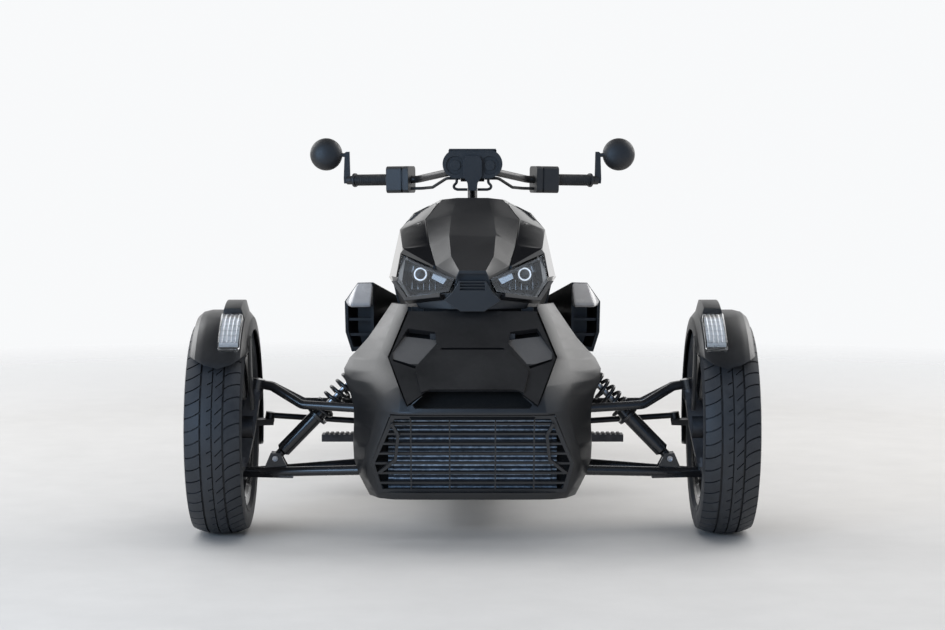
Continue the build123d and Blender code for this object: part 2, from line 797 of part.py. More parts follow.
save(rear_fender, "rear_fender")

tail_lamp_half = 78
with BuildPart() as tail_lamps:
    face = outline(
        rear_plane(36),
        [
            (tail_lamp_half, rear_overhang + seat_gap),
            (tail_lamp_half - 6, rear_overhang + 20),
            (-tail_lamp_half + 6, rear_overhang + 20),
            (-tail_lamp_half, rear_overhang + seat_gap),
        ],
    )
    revolve(face, axis=rear_axis, revolution_arc=14)
save(tail_lamps, "tail_lamps")

# Nose shell: plan outlines stacked up the nose, hollow and open at the back.
NoseRow = namedtuple("NoseRow", "z front corner_x corner side_x side")
nose_rows = [
    NoseRow(116, -188, 236, -182, 276, -95),
    NoseRow(213, -228, 276, -212, 318, -95),
    NoseRow(355, -266, 220, -258, 318, -100),
    NoseRow(452, -225, 222, -170, 347, -38),
    NoseRow(530, -120, 214, -85, 285, 25),
    NoseRow(622, -15, 190, 5, 222, 78),
]
nose_steps = 3
nose_corner_cut = 0.3
nose_wall = 12
nose_tab_low = 455
nose_tab_high = 475

# Outlines in the front view, as (x, z) of the right-hand half from the bottom up.
grille_outline = [(248, 135), (268, 215), (215, 350)]
hood_outline = [(121, 408), (170, 376), (221, 489), (172, 605)]
hood_opening = [(125, 403), (171, 370), (226, 489), (176, 610), (176, 640)]


def rounded_rows(rows, steps):
    """Puts rows between the given ones, on a curve that runs through them all."""
    placed = []
    for index in range(len(rows) - 1):
        before = rows[max(index - 1, 0)]
        after = rows[min(index + 2, len(rows) - 1)]
        for step in range(steps):
            t = step / steps
            values = []
            for p, a, b, n in zip(before, rows[index], rows[index + 1], after):
                curve = (2 * p - 5 * a + 4 * b - n) * t**2 + (3 * a - p - 3 * b + n) * t**3
                values.append(a + 0.5 * ((b - p) * t + curve))
            placed.append(NoseRow(*values))
    return placed + [rows[-1]]


def nose_face(row, inset, reach, lift):
    slope = (row.side_x - row.corner_x) / (row.side - row.corner)
    front = (0.6 * row.corner_x, row.front + inset)
    corner = (row.corner_x - inset, row.corner + inset)
    side = (row.side_x - inset * 1.2 + reach * slope, row.side + reach)
    cuts = []
    for end in (front, side):
        cuts.append([c + nose_corner_cut * (e - c) for c, e in zip(corner, end)])
    half = [(x, behind(station)) for x, station in (front, *cuts, side)]
    return outline(Plane.XY.offset(row.z + lift), both_sides(half))


nose_curve = rounded_rows(nose_rows, nose_steps)
with BuildPart() as nose_outer:
    loft([nose_face(row, 0, 0, 0) for row in nose_curve], ruled=True)

with BuildPart() as nose_shell:
    add(nose_outer.part)
    hollow = [nose_face(nose_curve[0], nose_wall, 60, nose_wall)]
    hollow += [nose_face(row, nose_wall, 60, 0) for row in nose_curve[1:-1]]
    hollow.append(nose_face(nose_curve[-1], nose_wall, 60, nose_wall / 2))
    loft(hollow, ruled=True, mode=Mode.SUBTRACT)
    deck_side = upper_pivot_x - 4
    tab_height = nose_tab_high - nose_tab_low
    tab = Box(120, 20, tab_height, align=(Align.MIN, Align.CENTER, Align.MIN), mode=Mode.PRIVATE)
    tab = Pos(deck_side + seat_gap, behind(-50), nose_tab_low) * tab
    for shape in (tab, mirror(tab, about=Plane.YZ)):
        add(shape & nose_outer.part)
    face = outline(station_plane(-300), both_sides(grille_outline))
    extrude(face, amount=-140, mode=Mode.SUBTRACT)
    face = outline(station_plane(-300), both_sides(hood_opening))
    extrude(face, amount=-350, mode=Mode.SUBTRACT)
save(nose_shell, "nose_shell")

# Grille, a leaning panel of slats in the nose's lower opening.
grille_low = (135, -186)
grille_high = (350, -250)
grille_run = Vector(0, grille_high[1] - grille_low[1], grille_high[0] - grille_low[0])
grille_plane = Plane(
    origin=(0, behind(grille_low[1]), grille_low[0]),
    x_dir=(1, 0, 0),
    z_dir=Vector(1, 0, 0).cross(grille_run.normalized()),
)
grille_stretch = grille_run.length / grille_run.Z
grille_margin = 0.7
grille_lean = 3
grille_rim = 10
grille_depth = 8
slat_count = 7
slat_height = 6
wire_width = 4
wire_places = (-162, -60, 60, 162)
trim_line = [(212, 326), (195, 295), (203, 227), (246, 192)]
trim_width = 8
trim_rise = 7


def grille_half(inset):
    low, mid, high = grille_outline
    return [
        (low[0] - inset, (low[1] - grille_low[0]) * grille_stretch + inset),
        (mid[0] - inset, (mid[1] - grille_low[0]) * grille_stretch),
        (high[0] - inset - 1, (high[1] - grille_low[0]) * grille_stretch - inset - grille_lean),
    ]


def grille_half_width(height):
    low, mid, high = grille_half(grille_rim - 4)
    first, second = (low, mid) if height < mid[1] else (mid, high)
    return first[0] + (second[0] - first[0]) * (height - first[1]) / (second[1] - first[1])


with BuildPart() as grille:
    with BuildSketch(grille_plane) as grille_sketch:
        with BuildLine():
            Polyline(*both_sides(grille_half(grille_margin)), close=True)
        make_face()
        with BuildLine():
            Polyline(*both_sides(grille_half(grille_rim)), close=True)
        make_face(mode=Mode.SUBTRACT)
        slat_pitch = grille_run.length / (slat_count + 1)
        for slat in range(slat_count):
            height = (slat + 1) * slat_pitch
            with Locations((0, height)):
                Rectangle(2 * grille_half_width(height), slat_height)
        for place in wire_places:
            with Locations((place, grille_run.length / 2)):
                Rectangle(wire_width, grille_run.length - grille_rim)
    extrude(amount=-grille_depth)
    for sign in (-1, 1):
        points = [(sign * x, (z - grille_low[0]) * grille_stretch) for x, z in trim_line]
        with BuildSketch(grille_plane.offset(-1)) as trim_sketch:
            with BuildLine():
                trim_path = Polyline(*points)
            trace(trim_path, line_width=trim_width)
        extrude(trim_sketch.sketch, amount=trim_rise + 1)
save(grille, "grille")

# Radiator behind the grille, against the ends of the lower rails.
radiator_back = -bracket_end - seat_gap
with BuildPart() as radiator:
    block((-224, behind(radiator_back - 36), 142), (224, behind(radiator_back), 346))
    block((-208, behind(radiator_back - 42), 156), (208, behind(radiator_back - 30), 332))
save(radiator, "radiator")

# Hood, a sloping panel with a raised shield and two sunken scoops, on posts that stand on the deck.
hood_low = (400, -243)
hood_high = (605, -20)
hood_run = Vector(0, hood_high[1] - hood_low[1], hood_high[0] - hood_low[0])
hood_plane = Plane(
    origin=(0, behind(hood_low[1]), hood_low[0]),
    x_dir=(1, 0, 0),
    z_dir=Vector(1, 0, 0).cross(hood_run.normalized()),
)
hood_stretch = hood_run.length / hood_run.Z
hood_wall = 16
shield_rise = 7
hood_post_x = 100


def on_hood(points):
    return [(x, (z - hood_low[0]) * hood_stretch) for x, z in points]


shield_outline = [(112, 409), (134, 402), (148, 452), (92, 505)]
scoop_outline = [(96, 524), (152, 466), (210, 486), (213, 504), (174, 562), (101, 553)]
scoop_slot = [(101, 553), (98, 540), (182, 550), (174, 562)]
scoop_gap = [(149, 469), (152, 463), (212, 482), (211, 488)]
middle_slot = [(92, 505), (82, 514)]
scoop_depth = 13
scoop_top = 550
scoop_bottom = 474
scoop_floor = Plane(
    origin=hood_plane.from_local_coords(Vector(0, (scoop_bottom - hood_low[0]) * hood_stretch, 0)),
    x_dir=(1, 0, 0),
    z_dir=hood_plane.z_dir.rotate(
        Axis.X, -math.degrees(math.atan(scoop_depth / ((scoop_top - scoop_bottom) * hood_stretch)))
    ),
)
with BuildPart() as left_scoop:
    face = outline(hood_plane.offset(-hood_wall), on_hood(scoop_outline))
    extrude(face, amount=2 * hood_wall)
    split(bisect_by=scoop_floor, keep=Keep.TOP)
    for slot_outline in (scoop_slot, scoop_gap):
        face = outline(hood_plane.offset(-hood_wall - 2), on_hood(slot_outline))
        extrude(face, amount=2 * hood_wall)
with BuildPart() as hood:
    face = outline(hood_plane, both_sides(on_hood(hood_outline)))
    extrude(face, amount=-hood_wall)
    face = outline(hood_plane.offset(-2), both_sides(on_hood(shield_outline)))
    extrude(face, amount=shield_rise + 2)
    add(left_scoop.part, mode=Mode.SUBTRACT)
    add(mirror(left_scoop.part, about=Plane.YZ), mode=Mode.SUBTRACT)
    face = outline(hood_plane.offset(-hood_wall - 2), both_sides(on_hood(middle_slot)))
    extrude(face, amount=2 * hood_wall + 4, mode=Mode.SUBTRACT)
    for sign in (-1, 1):
        post = sign * hood_post_x
        block((post - 14, behind(-74), deck_high + seat_gap), (post + 14, behind(-58), 548))
    face = outline(station_plane(-340), both_sides(hood_outline))
    extrude(face, amount=-400, mode=Mode.INTERSECT)
save(hood, "hood")

# Upper body. One row gives a cross section: cowl top, seam, shoulder and skirt.
BodyRow = namedtuple("BodyRow", "station flat_x flat_z seam_x seam_z shoulder_x shoulder_z skirt_x skirt_z")
body_rows = [
    BodyRow(-40, 36, 716, 44, 699, 50, 690, 52, 660),
    BodyRow(25, 58, 752, 100, 727, 107, 725, 109, 722),
    BodyRow(122, 64, 803, 117, 776, 190, 768, 199, 757),
    BodyRow(136, 64, 809, 119, 783, 194, 772, 212, 690),
    BodyRow(260, 58, 860, 131, 848, 205, 818, 234, 688),
    BodyRow(380, 44, 906, 88, 901, 168, 862, 241, 680),
    BodyRow(560, 40, 884, 82, 880, 158, 842, 236, 652),
    BodyRow(760, 40, 804, 74, 800, 140, 770, 206, 620),
]
cowl_rows = body_rows[:6]
panel_rows = body_rows[1:]
panel_wall = 8
panel_seam = 2
carrier_front = -16
carrier_back = 360
carrier_low = 610
carrier_leg_x = 150
column_clear = 10


def cowl_face(row):
    top = [(row.seam_x, row.seam_z - panel_wall), (row.seam_x, row.seam_z), (row.flat_x, row.flat_z)]
    under = [(-row.flat_x, row.flat_z - panel_wall), (row.flat_x, row.flat_z - panel_wall)]
    return outline(station_plane(row.station), both_sides(top) + under)


def panel_face(row):
    points = [
        (row.seam_x + panel_seam, row.seam_z),
        (row.shoulder_x, row.shoulder_z),
        (row.skirt_x, row.skirt_z),
        (row.skirt_x - panel_wall, row.skirt_z),
        (row.shoulder_x - panel_wall, row.shoulder_z - panel_wall),
        (row.seam_x + panel_seam, row.seam_z - panel_wall),
    ]
    if row.station < 100:
        points = [
            (row.seam_x + panel_seam, row.seam_z),
            (row.seam_x + panel_seam + 4, row.seam_z - 1),
            (row.seam_x + panel_seam + 6, row.seam_z - 4),
            (row.seam_x + panel_seam + 4, row.seam_z - 8.5),
            (row.seam_x + panel_seam + 2, row.seam_z - 9),
            (row.seam_x + panel_seam, row.seam_z - panel_wall),
        ]
    return outline(station_plane(row.station), points)


def between(first, second, station):
    """Gives the body row at a station between two others."""
    share = (station - first.station) / (second.station - first.station)
    return BodyRow(*[a + (b - a) * share for a, b in zip(first, second)])


def core_face(row, low):
    """Draws the section that fills the space under the cowl and the side panels."""
    drop = panel_wall + seat_gap
    half = [
        (row.skirt_x - drop - 22, low),
        (row.skirt_x - drop, row.skirt_z),
        (row.shoulder_x - drop, row.shoulder_z - drop),
        (row.seam_x, row.seam_z - drop),
        (row.flat_x, row.flat_z - drop),
    ]
    return outline(station_plane(row.station), both_sides(half))


with BuildPart() as cowl:
    loft([cowl_face(row) for row in cowl_rows], ruled=True)
save(cowl, "cowl")

with BuildPart() as left_panel:
    loft([panel_face(row) for row in panel_rows], ruled=True)
with BuildPart() as side_panels:
    add(left_panel.part)
    add(mirror(left_panel.part, about=Plane.YZ))
save(side_panels, "side_panels")

# Headlamps. Both lenses lie on planes that face forward, outward and up.
lamp_tip = Vector(45, behind(-30), 699)
lamp_normal = Vector(0.528, -0.728, 0.436).normalized()
lamp_plane = Plane(origin=lamp_tip, x_dir=(0.81, 0.587, 0), z_dir=lamp_normal)
lamp_outline = [(48, 695), (64, 659), (176, 640), (208, 683), (195, 752), (103, 714)]
lens_wall = 6
pocket_inset = 7
pocket_depth = 46
bezel_outline = [(86, 654), (176.5, 638.6), (209, 682), (221, 680), (183, 629), (86, 643)]
bezel_root = 12
bezel_rise = 5


def on_lamp(points):
    """Puts front-view points on the lamp's plane."""
    placed = []
    for x, z in points:
        rise = lamp_normal.X * (x - lamp_tip.X) + lamp_normal.Z * (z - lamp_tip.Z)
        local = lamp_plane.to_local_coords(Vector(x, lamp_tip.Y - rise / lamp_normal.Y, z))
        placed.append((local.X, local.Y))
    return placed


with BuildPart() as left_lens:
    face = outline(lamp_plane, on_lamp(lamp_outline))
    extrude(face, amount=-lens_wall)
with BuildPart() as headlamp_lenses:
    add(left_lens.part)
    add(mirror(left_lens.part, about=Plane.YZ))
save(headlamp_lenses, "headlamp_lenses")

# Lamp carrier, the body under the cowl that holds the lamps and stands on the deck.
with BuildPart() as lamp_cut:
    cut_corners = [(-300, -300), (400, -300), (400, 300), (-300, 300)]
    face = outline(lamp_plane.offset(-lens_wall - seat_gap), cut_corners)
    extrude(face, amount=300)
with BuildPart() as lamp_pocket:
    with BuildSketch(lamp_plane.offset(-lens_wall)):
        with BuildLine():
            Polyline(*on_lamp(lamp_outline), close=True)
        make_face()
        offset(amount=-pocket_inset, kind=Kind.INTERSECTION)
    extrude(amount=-pocket_depth)
with BuildPart() as lamp_bezel:
    face = outline(lamp_plane.offset(-lens_wall - seat_gap - bezel_root), on_lamp(bezel_outline))
    extrude(face, amount=bezel_root + lens_wall + bezel_rise)
with BuildPart() as lamp_carrier:
    carrier_rows = [
        between(body_rows[0], body_rows[1], carrier_front),
        BodyRow(25, 58, 752, 100, 727, 172, 690, 176, 650),
        BodyRow(122, 64, 803, 117, 776, 190, 768, 214, 690),
        body_rows[3],
        body_rows[4],
        between(body_rows[4], body_rows[5], carrier_back),
    ]
    loft([core_face(row, carrier_low) for row in carrier_rows], ruled=True)
    for sign in (-1, 1):
        post = sign * carrier_leg_x
        block((post - 16, behind(30), deck_high + seat_gap), (post + 16, behind(62), carrier_low + 4))
    boss(column_plane, -100, column_radius + column_clear, column_length, Mode.SUBTRACT)
    for tool in (lamp_cut, lamp_pocket):
        add(tool.part, mode=Mode.SUBTRACT)
        add(mirror(tool.part, about=Plane.YZ), mode=Mode.SUBTRACT)
    add(lamp_bezel.part)
    add(mirror(lamp_bezel.part, about=Plane.YZ))
save(lamp_carrier, "lamp_carrier")

# Centre louvre between the lamps, with a lip below it.
louvre_outline = [(32, 606), (76, 636), (54, 657), (36, 688)]
louvre_front = -44
louvre_slots = (666, 674, 682)
with BuildPart() as centre_louvre:
    face = outline(station_plane(carrier_front - seat_gap), both_sides(louvre_outline))
    extrude(face, amount=carrier_front - seat_gap - louvre_front)
    for height in louvre_slots:
        block((-34, behind(louvre_front - 2), height - 2.5), (34, behind(louvre_front + 16), height + 2.5),
              Mode.SUBTRACT)
save(centre_louvre, "centre_louvre")

# Tank cover behind the handlebar. It rests along the frame's spine.
def spine_top(station):
    front = sleeve_point.Y + 8 - front_axle_y
    share = (station - front) / (spine_bend - front)
    return sleeve_point.Z + (spine_z - sleeve_point.Z) * share + spine_radius


tank_front = 400
tank_end = BodyRow(900, 40, 706, 66, 700, 118, 680, 170, 610)
tank_rows = [between(body_rows[5], body_rows[6], tank_front), body_rows[6], body_rows[7], tank_end]
with BuildPart() as tank_cover:
    loft([core_face(row, spine_top(row.station) + 1) for row in tank_rows], ruled=True)
    boss(column_plane, -100, column_radius + column_clear, column_length, Mode.SUBTRACT)
    boss(column_plane, -100, 60, 150, Mode.SUBTRACT)
save(tank_cover, "tank_cover")

# Seat and tail on the seat rails.
SeatRow = namedtuple("SeatRow", "station half low high")
seat_low = seat_rail_z + seat_rail_radius + seat_gap
seat_rows = [
    SeatRow(904, 76, seat_rail_z + 61, seat_rail_z + 185),
    SeatRow(1000, 118, seat_low, seat_rail_z + 131),
    SeatRow(1120, 150, seat_low, seat_rail_z + 97),
    SeatRow(1250, 160, seat_low, seat_rail_z + 111),
    SeatRow(1366, 138, seat_rail_z + 61, seat_rail_z + 185),
]


def seat_face(row):
    middle = row.low + 0.45 * (row.high - row.low)
    half = [(0.8 * row.half, row.low), (row.half, middle)]
    half += [(0.86 * row.half, row.high - 14), (0.5 * row.half, row.high)]
    return outline(station_plane(row.station), both_sides(half))


with BuildPart() as seat:
    loft([seat_face(row) for row in seat_rows], ruled=True)
save(seat, "seat")



def tail_low(station):
    """Gives the height just above the rising seat rails."""
    slope = seat_rail_rise / (seat_rail_end - seat_rail_bend)
    top = seat_rail_radius * math.sqrt(1 + slope * slope) + seat_gap
    return seat_rail_z + slope * (station - seat_rail_bend) + top


tail_rows = [
    SeatRow(1372, 134, tail_low(1372), seat_rail_z + 187),
    SeatRow(1640, 76, tail_low(1640), seat_rail_z + 201),
]
rack_spacing_x = 90
rack_spacing_y = 110
rack_hole_radius = 4.25
rack_station = 1520
rack_top = seat_rail_z + 209
with BuildPart() as tail_section:
    loft([seat_face(row) for row in tail_rows], ruled=True)
    block((-66, behind(rack_station - 78), rack_top - 46), (66, behind(rack_station + 78), rack_top))
    for x in (-rack_spacing_x / 2, rack_spacing_x / 2):
        for y in (-rack_spacing_y / 2, rack_spacing_y / 2):
            plane = Plane(origin=(x, behind(rack_station) + y, rack_top))
            boss(plane, -24, rack_hole_radius, 30, Mode.SUBTRACT)
save(tail_section, "tail_section")

# Engine, one block with lugs on the lower rails, and its drive cover on the left.
engine_half = 140
with BuildPart() as engine:
    face = outline(
        side_plane(-engine_half),
        [
            (behind(560), 190),
            (behind(600), 152),
            (behind(1060), 152),
            (behind(1100), 196),
            (behind(1100), 360),
            (behind(1050), 400),
            (behind(560), 400),
        ],
    )
    extrude(face, amount=2 * engine_half)
    face = outline(
        side_plane(-110),
        [
            (behind(470), 420),
            (behind(560), 300),
            (behind(820), 400),
            (behind(740), 515),
            (behind(520), 520),
        ],
    )
    extrude(face, amount=220)
    for station in (620, 960):
        block(
            (-rail_x + rail_radius + seat_gap, behind(station - 25), rail_z - 20),
            (rail_x - rail_radius - seat_gap, behind(station + 25), rail_z + 20),
        )
save(engine, "engine")

with BuildPart() as drive_cover:
    cover_middle = (engine_half + seat_gap, behind(840), 300)
    with BuildSketch(Plane(origin=cover_middle, x_dir=(0, 1, 0), z_dir=(1, 0, 0))):
        SlotOverall(behind(1075) - behind(605), 176)
    extrude(amount=52)
    with BuildSketch(Plane(origin=(engine_half + 50, behind(840), 300), x_dir=(0, 1, 0), z_dir=(1, 0, 0))):
        boss_reach = (behind(1075) - behind(605)) / 2 - 88
        with Locations((-boss_reach, 0), (boss_reach, 0)):
            Circle(74)
    extrude(amount=18)
save(drive_cover, "drive_cover")

# Side covers against the lower rails, and the belly pan under them.
cover_x = rail_x + rail_radius + seat_gap
cover_wall = 8
with BuildPart() as side_covers:
    for sign in (-1, 1):
        face = outline(
            side_plane(sign * cover_x),
            [
                (behind(200), 170),
                (behind(585), 170),
                (behind(592), 430),
                (behind(720), 480),
                (behind(720), 570),
                (behind(330), 570),
                (behind(200), 470),
            ],
        )
        extrude(face, amount=sign * cover_wall)
save(side_covers, "side_covers")

pan_low = 112
pan_wall = 6
with BuildPart() as belly_pan:
    pan_top = rail_z - rail_radius - seat_gap
    half = [(150, pan_low), (rail_x + 8, pan_top), (rail_x, pan_top), (144, pan_low + pan_wall)]
    face = outline(station_plane(140), both_sides(half))
    extrude(face, amount=behind(140) - behind(1060))
save(belly_pan, "belly_pan")

# Air ducts beside the tank. Each has a mouth with three blades and rests on a side cover.
duct_mouth = [(300, 468), (348, 463), (366, 520), (368, 608), (330, 662), (286, 663), (284, 525)]
duct_seat = cover_x + cover_wall + seat_gap
duct_rear = [
    (duct_seat, 474),
    (duct_seat + 24, 468),
    (duct_seat + 34, 510),
    (duct_seat + 34, 560),
    (duct_seat + 26, 584),
    (duct_seat + 4, 586),
    (duct_seat, 520),
]
duct_front = 380
duct_back = 715
pocket_reach = 60
blade_heights = (512, 556, 600)
blade_half = 4
duct_pocket = [(305, 480), (344, 476), (358, 522), (359, 604), (328, 650), (294, 651), (293, 525)]
with BuildPart() as left_duct:
    mouth_face = outline(station_plane(duct_front), duct_mouth)
    rear_face = outline(station_plane(duct_back), duct_rear)
    loft([mouth_face, rear_face], ruled=True)
    # The pocket narrows with the duct, so its wall keeps its thickness.
    share = pocket_reach / (duct_back - duct_front)
    pocket_end = []
    for spot, front, back in zip(duct_pocket, duct_mouth, duct_rear):
        pocket_end.append(tuple(p + share * (b - f) for p, f, b in zip(spot, front, back)))
    pocket_face = outline(station_plane(duct_front - 1), duct_pocket)
    end_face = outline(station_plane(duct_front + pocket_reach), pocket_end)
    loft([pocket_face, end_face], ruled=True, mode=Mode.SUBTRACT)
    for height in blade_heights:
        blade_low = (288, behind(duct_front + 6), height - blade_half)
        block(blade_low, (356, behind(duct_front + 22), height + blade_half))
with BuildPart() as air_ducts:
    add(left_duct.part)
    add(mirror(left_duct.part, about=Plane.YZ))
save(air_ducts, "air_ducts")

# Exhaust on the right, from the engine's side over the rail to a silencer.
with BuildPart() as exhaust:
    tube(
        [
            (-engine_half - seat_gap, behind(830), 305),
            (-204, behind(830), 305),
            (-250, behind(930), 240),
            (-250, behind(1010), 232),
        ],
        21,
        34,
    )
    with BuildSketch(Plane(origin=(-250, behind(1000), 230), x_dir=(1, 0, 0), z_dir=(0, 1, 0))):
        Ellipse(56, 66)
    extrude(amount=behind(1350) - behind(1000))
    tube([(-250, behind(1340), 238), (-250, behind(1385), 246)], 24, 10)
save(exhaust, "exhaust")

# Footpegs on the lower rails, and the foot brake on the right.
peg_station = 800
peg_z = 160
with BuildPart() as left_peg:
    block((cover_x, behind(peg_station - 16), peg_z - 4), (340, behind(peg_station + 16), peg_z + 14))
    block((cover_x, behind(peg_station - 40), peg_z), (cover_x + 10, behind(peg_station + 40), rail_z + 14))
    block((330, behind(peg_station - 30), peg_z - 6), (462, behind(peg_station + 30), peg_z + 16))
with BuildPart() as footpegs:
    add(left_peg.part)
    add(mirror(left_peg.part, about=Plane.YZ))
save(footpegs, "footpegs")

with BuildPart() as brake_pedal:
    face = outline(
        side_plane(-312),
        [
            (behind(peg_station - 16) - seat_gap, peg_z - 2),
            (behind(peg_station - 16) - seat_gap, peg_z + 12),
            (behind(peg_station - 110), peg_z + 96),
            (behind(peg_station - 126), peg_z + 88),
            (behind(peg_station - 40), peg_z - 2),
        ],
    )
    extrude(face, amount=12)
    block((-350, behind(peg_station - 136), peg_z + 80), (-290, behind(peg_station - 108), peg_z + 100))
save(brake_pedal, "brake_pedal")

# Steering: column with clamp and pitman arm, handlebar, hand controls, dash and mirrors.
bar_radius = 11
bar_rise = 54
clamp_width = 70
clamp_depth = 46
clamp_half = 18
bar_centre = Vector(*column_top) - column_down * bar_rise
pitman_reach = 81
pitman_half = 30
pitman_wall = 12
pitman_drop = 14
with BuildPart() as steering_column:
    boss(column_plane, -bar_rise + 10, column_radius, column_length + bar_rise - 10)
    with BuildSketch(column_plane.offset(-bar_rise - clamp_half)):
        Rectangle(clamp_width, clamp_depth)
    extrude(amount=2 * clamp_half)
    clamp_plane = Plane(origin=(-clamp_width, bar_centre.Y, bar_centre.Z), z_dir=(1, 0, 0))
    boss(clamp_plane, 0, bar_radius + seat_gap, 2 * clamp_width, Mode.SUBTRACT)
    # The column plane's second axis points back along the machine at its foot.
    pitman_sign = 1 if column_plane.y_dir.Y > 0 else -1
    face = outline(
        column_plane.offset(column_length - pitman_wall),
        [
            (-18, -pitman_sign * 18),
            (18, -pitman_sign * 18),
            (pitman_half + 12, pitman_sign * (pitman_reach - 8)),
            (pitman_half + 8, pitman_sign * (pitman_reach + 12)),
            (-pitman_half - 8, pitman_sign * (pitman_reach + 12)),
            (-pitman_half - 12, pitman_sign * (pitman_reach - 8)),
        ],
    )
    extrude(face, amount=pitman_wall)
save(steering_column, "steering_column")

# Tie rods, from a knuckle's stud in to just below the pitman arm.
pitman_point = Vector(*column_foot) + column_plane.y_dir * (pitman_sign * pitman_reach)
rod_inner = Vector(pitman_half, pitman_point.Y, pitman_point.Z)
rod_inner += column_down * (pitman_drop + rod_eye_height / 2)
rod_outer = rod_stud_point + king_axis * (seat_gap + rod_eye_height / 2)
rod_radius = 8
with BuildPart() as tie_rod_left:
    tube([(rod_outer.X, rod_outer.Y, rod_outer.Z), (rod_inner.X, rod_inner.Y, rod_inner.Z)], rod_radius, 10)
    boss(rod_stud_plane, seat_gap, rod_eye_radius, rod_eye_height)
    boss(Plane(origin=rod_inner, z_dir=column_down), -rod_eye_height / 2, rod_eye_radius, rod_eye_height)
    boss(rod_stud_plane, -2, rod_stud_radius + run_gap, rod_eye_height + 6, Mode.SUBTRACT)
save(tie_rod_left, "tie_rod_left")
with BuildPart() as tie_rod_right:
    add(mirror(tie_rod_left.part, about=Plane.YZ))
save(tie_rod_right, "tie_rod_right")

bar_knee = Vector(165, behind(665), 957)
bar_end = Vector(363, behind(741.5), 954)
bar_out = (bar_end - bar_knee).normalized()
bar_run = (bar_end - bar_knee).length
bar_plane = Plane(origin=bar_knee, x_dir=(0, 0, 1), z_dir=bar_out)
with BuildPart() as handlebar:
    tube(
        [
            (0, bar_centre.Y, bar_centre.Z),
            (66, bar_centre.Y, bar_centre.Z),
            (bar_knee.X, bar_knee.Y, bar_knee.Z),
            (bar_end.X, bar_end.Y, bar_end.Z),
        ],
        bar_radius,
        34,
    )
    mirror(about=Plane.YZ)
save(handlebar, "handlebar")

grip_start = 96
grip_end = 208
grip_radius = 16
switch_start = 18
switch_end = 90
switch_height = 80
switch_depth = 60
switch_corner = 11
# Each step of the box is (start, end, inset), so that a groove parts its two halves.
switch_steps = [(switch_start, 36, 0), (36, 41, 8), (41, switch_end, 0)]
with BuildPart() as left_controls:
    boss(bar_plane, grip_start, grip_radius, grip_end - grip_start)
    boss(bar_plane, grip_end - 8, grip_radius + 5, 8)
    boss(bar_plane, switch_end - 2, grip_radius + 4, grip_start + 2 - switch_end)
    for start, end, inset in switch_steps:
        with BuildSketch(bar_plane.offset(start)):
            RectangleRounded(switch_height - inset, switch_depth - inset, switch_corner)
        extrude(amount=end - start)
    boss(bar_plane, -5, bar_radius + seat_gap, bar_run + 10, Mode.SUBTRACT)
with BuildPart() as hand_controls:
    add(left_controls.part)
    add(mirror(left_controls.part, about=Plane.YZ))
save(hand_controls, "hand_controls")

mirror_centre = (443, 1032)
mirror_radius = 49
mirror_back = 756
# Half outline of the mirror's shell, as (radius, depth in front of the glass).
dome_profile = [(0, 0), (mirror_radius, 0), (mirror_radius, 7), (46, 15)]
dome_profile += [(39, 22), (28, 28), (14, 31), (0, 32)]
arm_front = 741
arm_wall = 14
arm_outline = [(371, 944), (389, 944), (390, 960), (387, 1036), (382, 1040), (372, 1040), (370, 960)]
stub_radius = 6
with BuildPart() as left_mirror:
    boss(bar_plane, bar_run + seat_gap, 13, 16)
    face = outline(station_plane(arm_front), arm_outline)
    extrude(face, amount=-arm_wall)
    stub_start = (378, behind(arm_front + arm_wall / 2), 1029)
    stub_end = (mirror_centre[0] - 26, behind(mirror_back - 14), mirror_centre[1])
    tube([stub_start, stub_end], stub_radius, 10)
    mirror_middle = (mirror_centre[0], behind(mirror_back), mirror_centre[1])
    dome_plane = Plane(origin=mirror_middle, x_dir=(1, 0, 0), z_dir=(0, 0, -1))
    dome_sign = -1 if dome_plane.y_dir.Y > 0 else 1
    face = outline(dome_plane, [(radius, dome_sign * depth) for radius, depth in dome_profile])
    revolve(face, axis=Axis(mirror_middle, (0, -1, 0)))
with BuildPart() as mirrors:
    add(left_mirror.part)
    add(mirror(left_mirror.part, about=Plane.YZ))
save(mirrors, "mirrors")

dash_front = 456
dash_mid = 492
dash_back = 520.5
dash_z = 1003
dash_width = 174
dash_height = 84
pod_x = 50
pod_radius = 27
pod_lens = 15
pod_depth = 7
visor_half = 68
visor_wall = 4
screen_low = 987
stem_outline = [(12, 926), (15, 948), (27, 968), (27, 1012), (20, 1026)]
stem_reach = 12
stem_back = 485
with BuildPart() as dash:
    with BuildSketch(station_plane(dash_front)):
        with Locations((0, dash_z)):
            SlotOverall(dash_width, dash_height)
            with Locations((-pod_x, -4), (pod_x, -4)):
                Circle(pod_radius, mode=Mode.SUBTRACT)
    extrude(amount=dash_front - dash_mid)
    with BuildSketch(station_plane(dash_front + pod_depth)):
        with Locations((0, dash_z)):
            SlotOverall(dash_width - 6, dash_height - 6)
    extrude(amount=dash_front + pod_depth - dash_mid)
    with BuildSketch(station_plane(dash_front + pod_depth + 1)):
        with Locations((-pod_x, dash_z - 4), (pod_x, dash_z - 4)):
            Circle(pod_lens)
    extrude(amount=pod_depth - 1)
    visor_low = dash_z + dash_height / 2 - 2
    visor_front = (-visor_half, behind(dash_front - 4), visor_low)
    block(visor_front, (visor_half, behind(dash_back), visor_low + visor_wall))
    face = outline(station_plane(dash_front - stem_reach), both_sides(stem_outline))
    extrude(face, amount=dash_front - stem_reach - stem_back)
    block((-70, behind(dash_mid - 4), screen_low), (70, behind(dash_back), visor_low + 1))
save(dash, "dash")

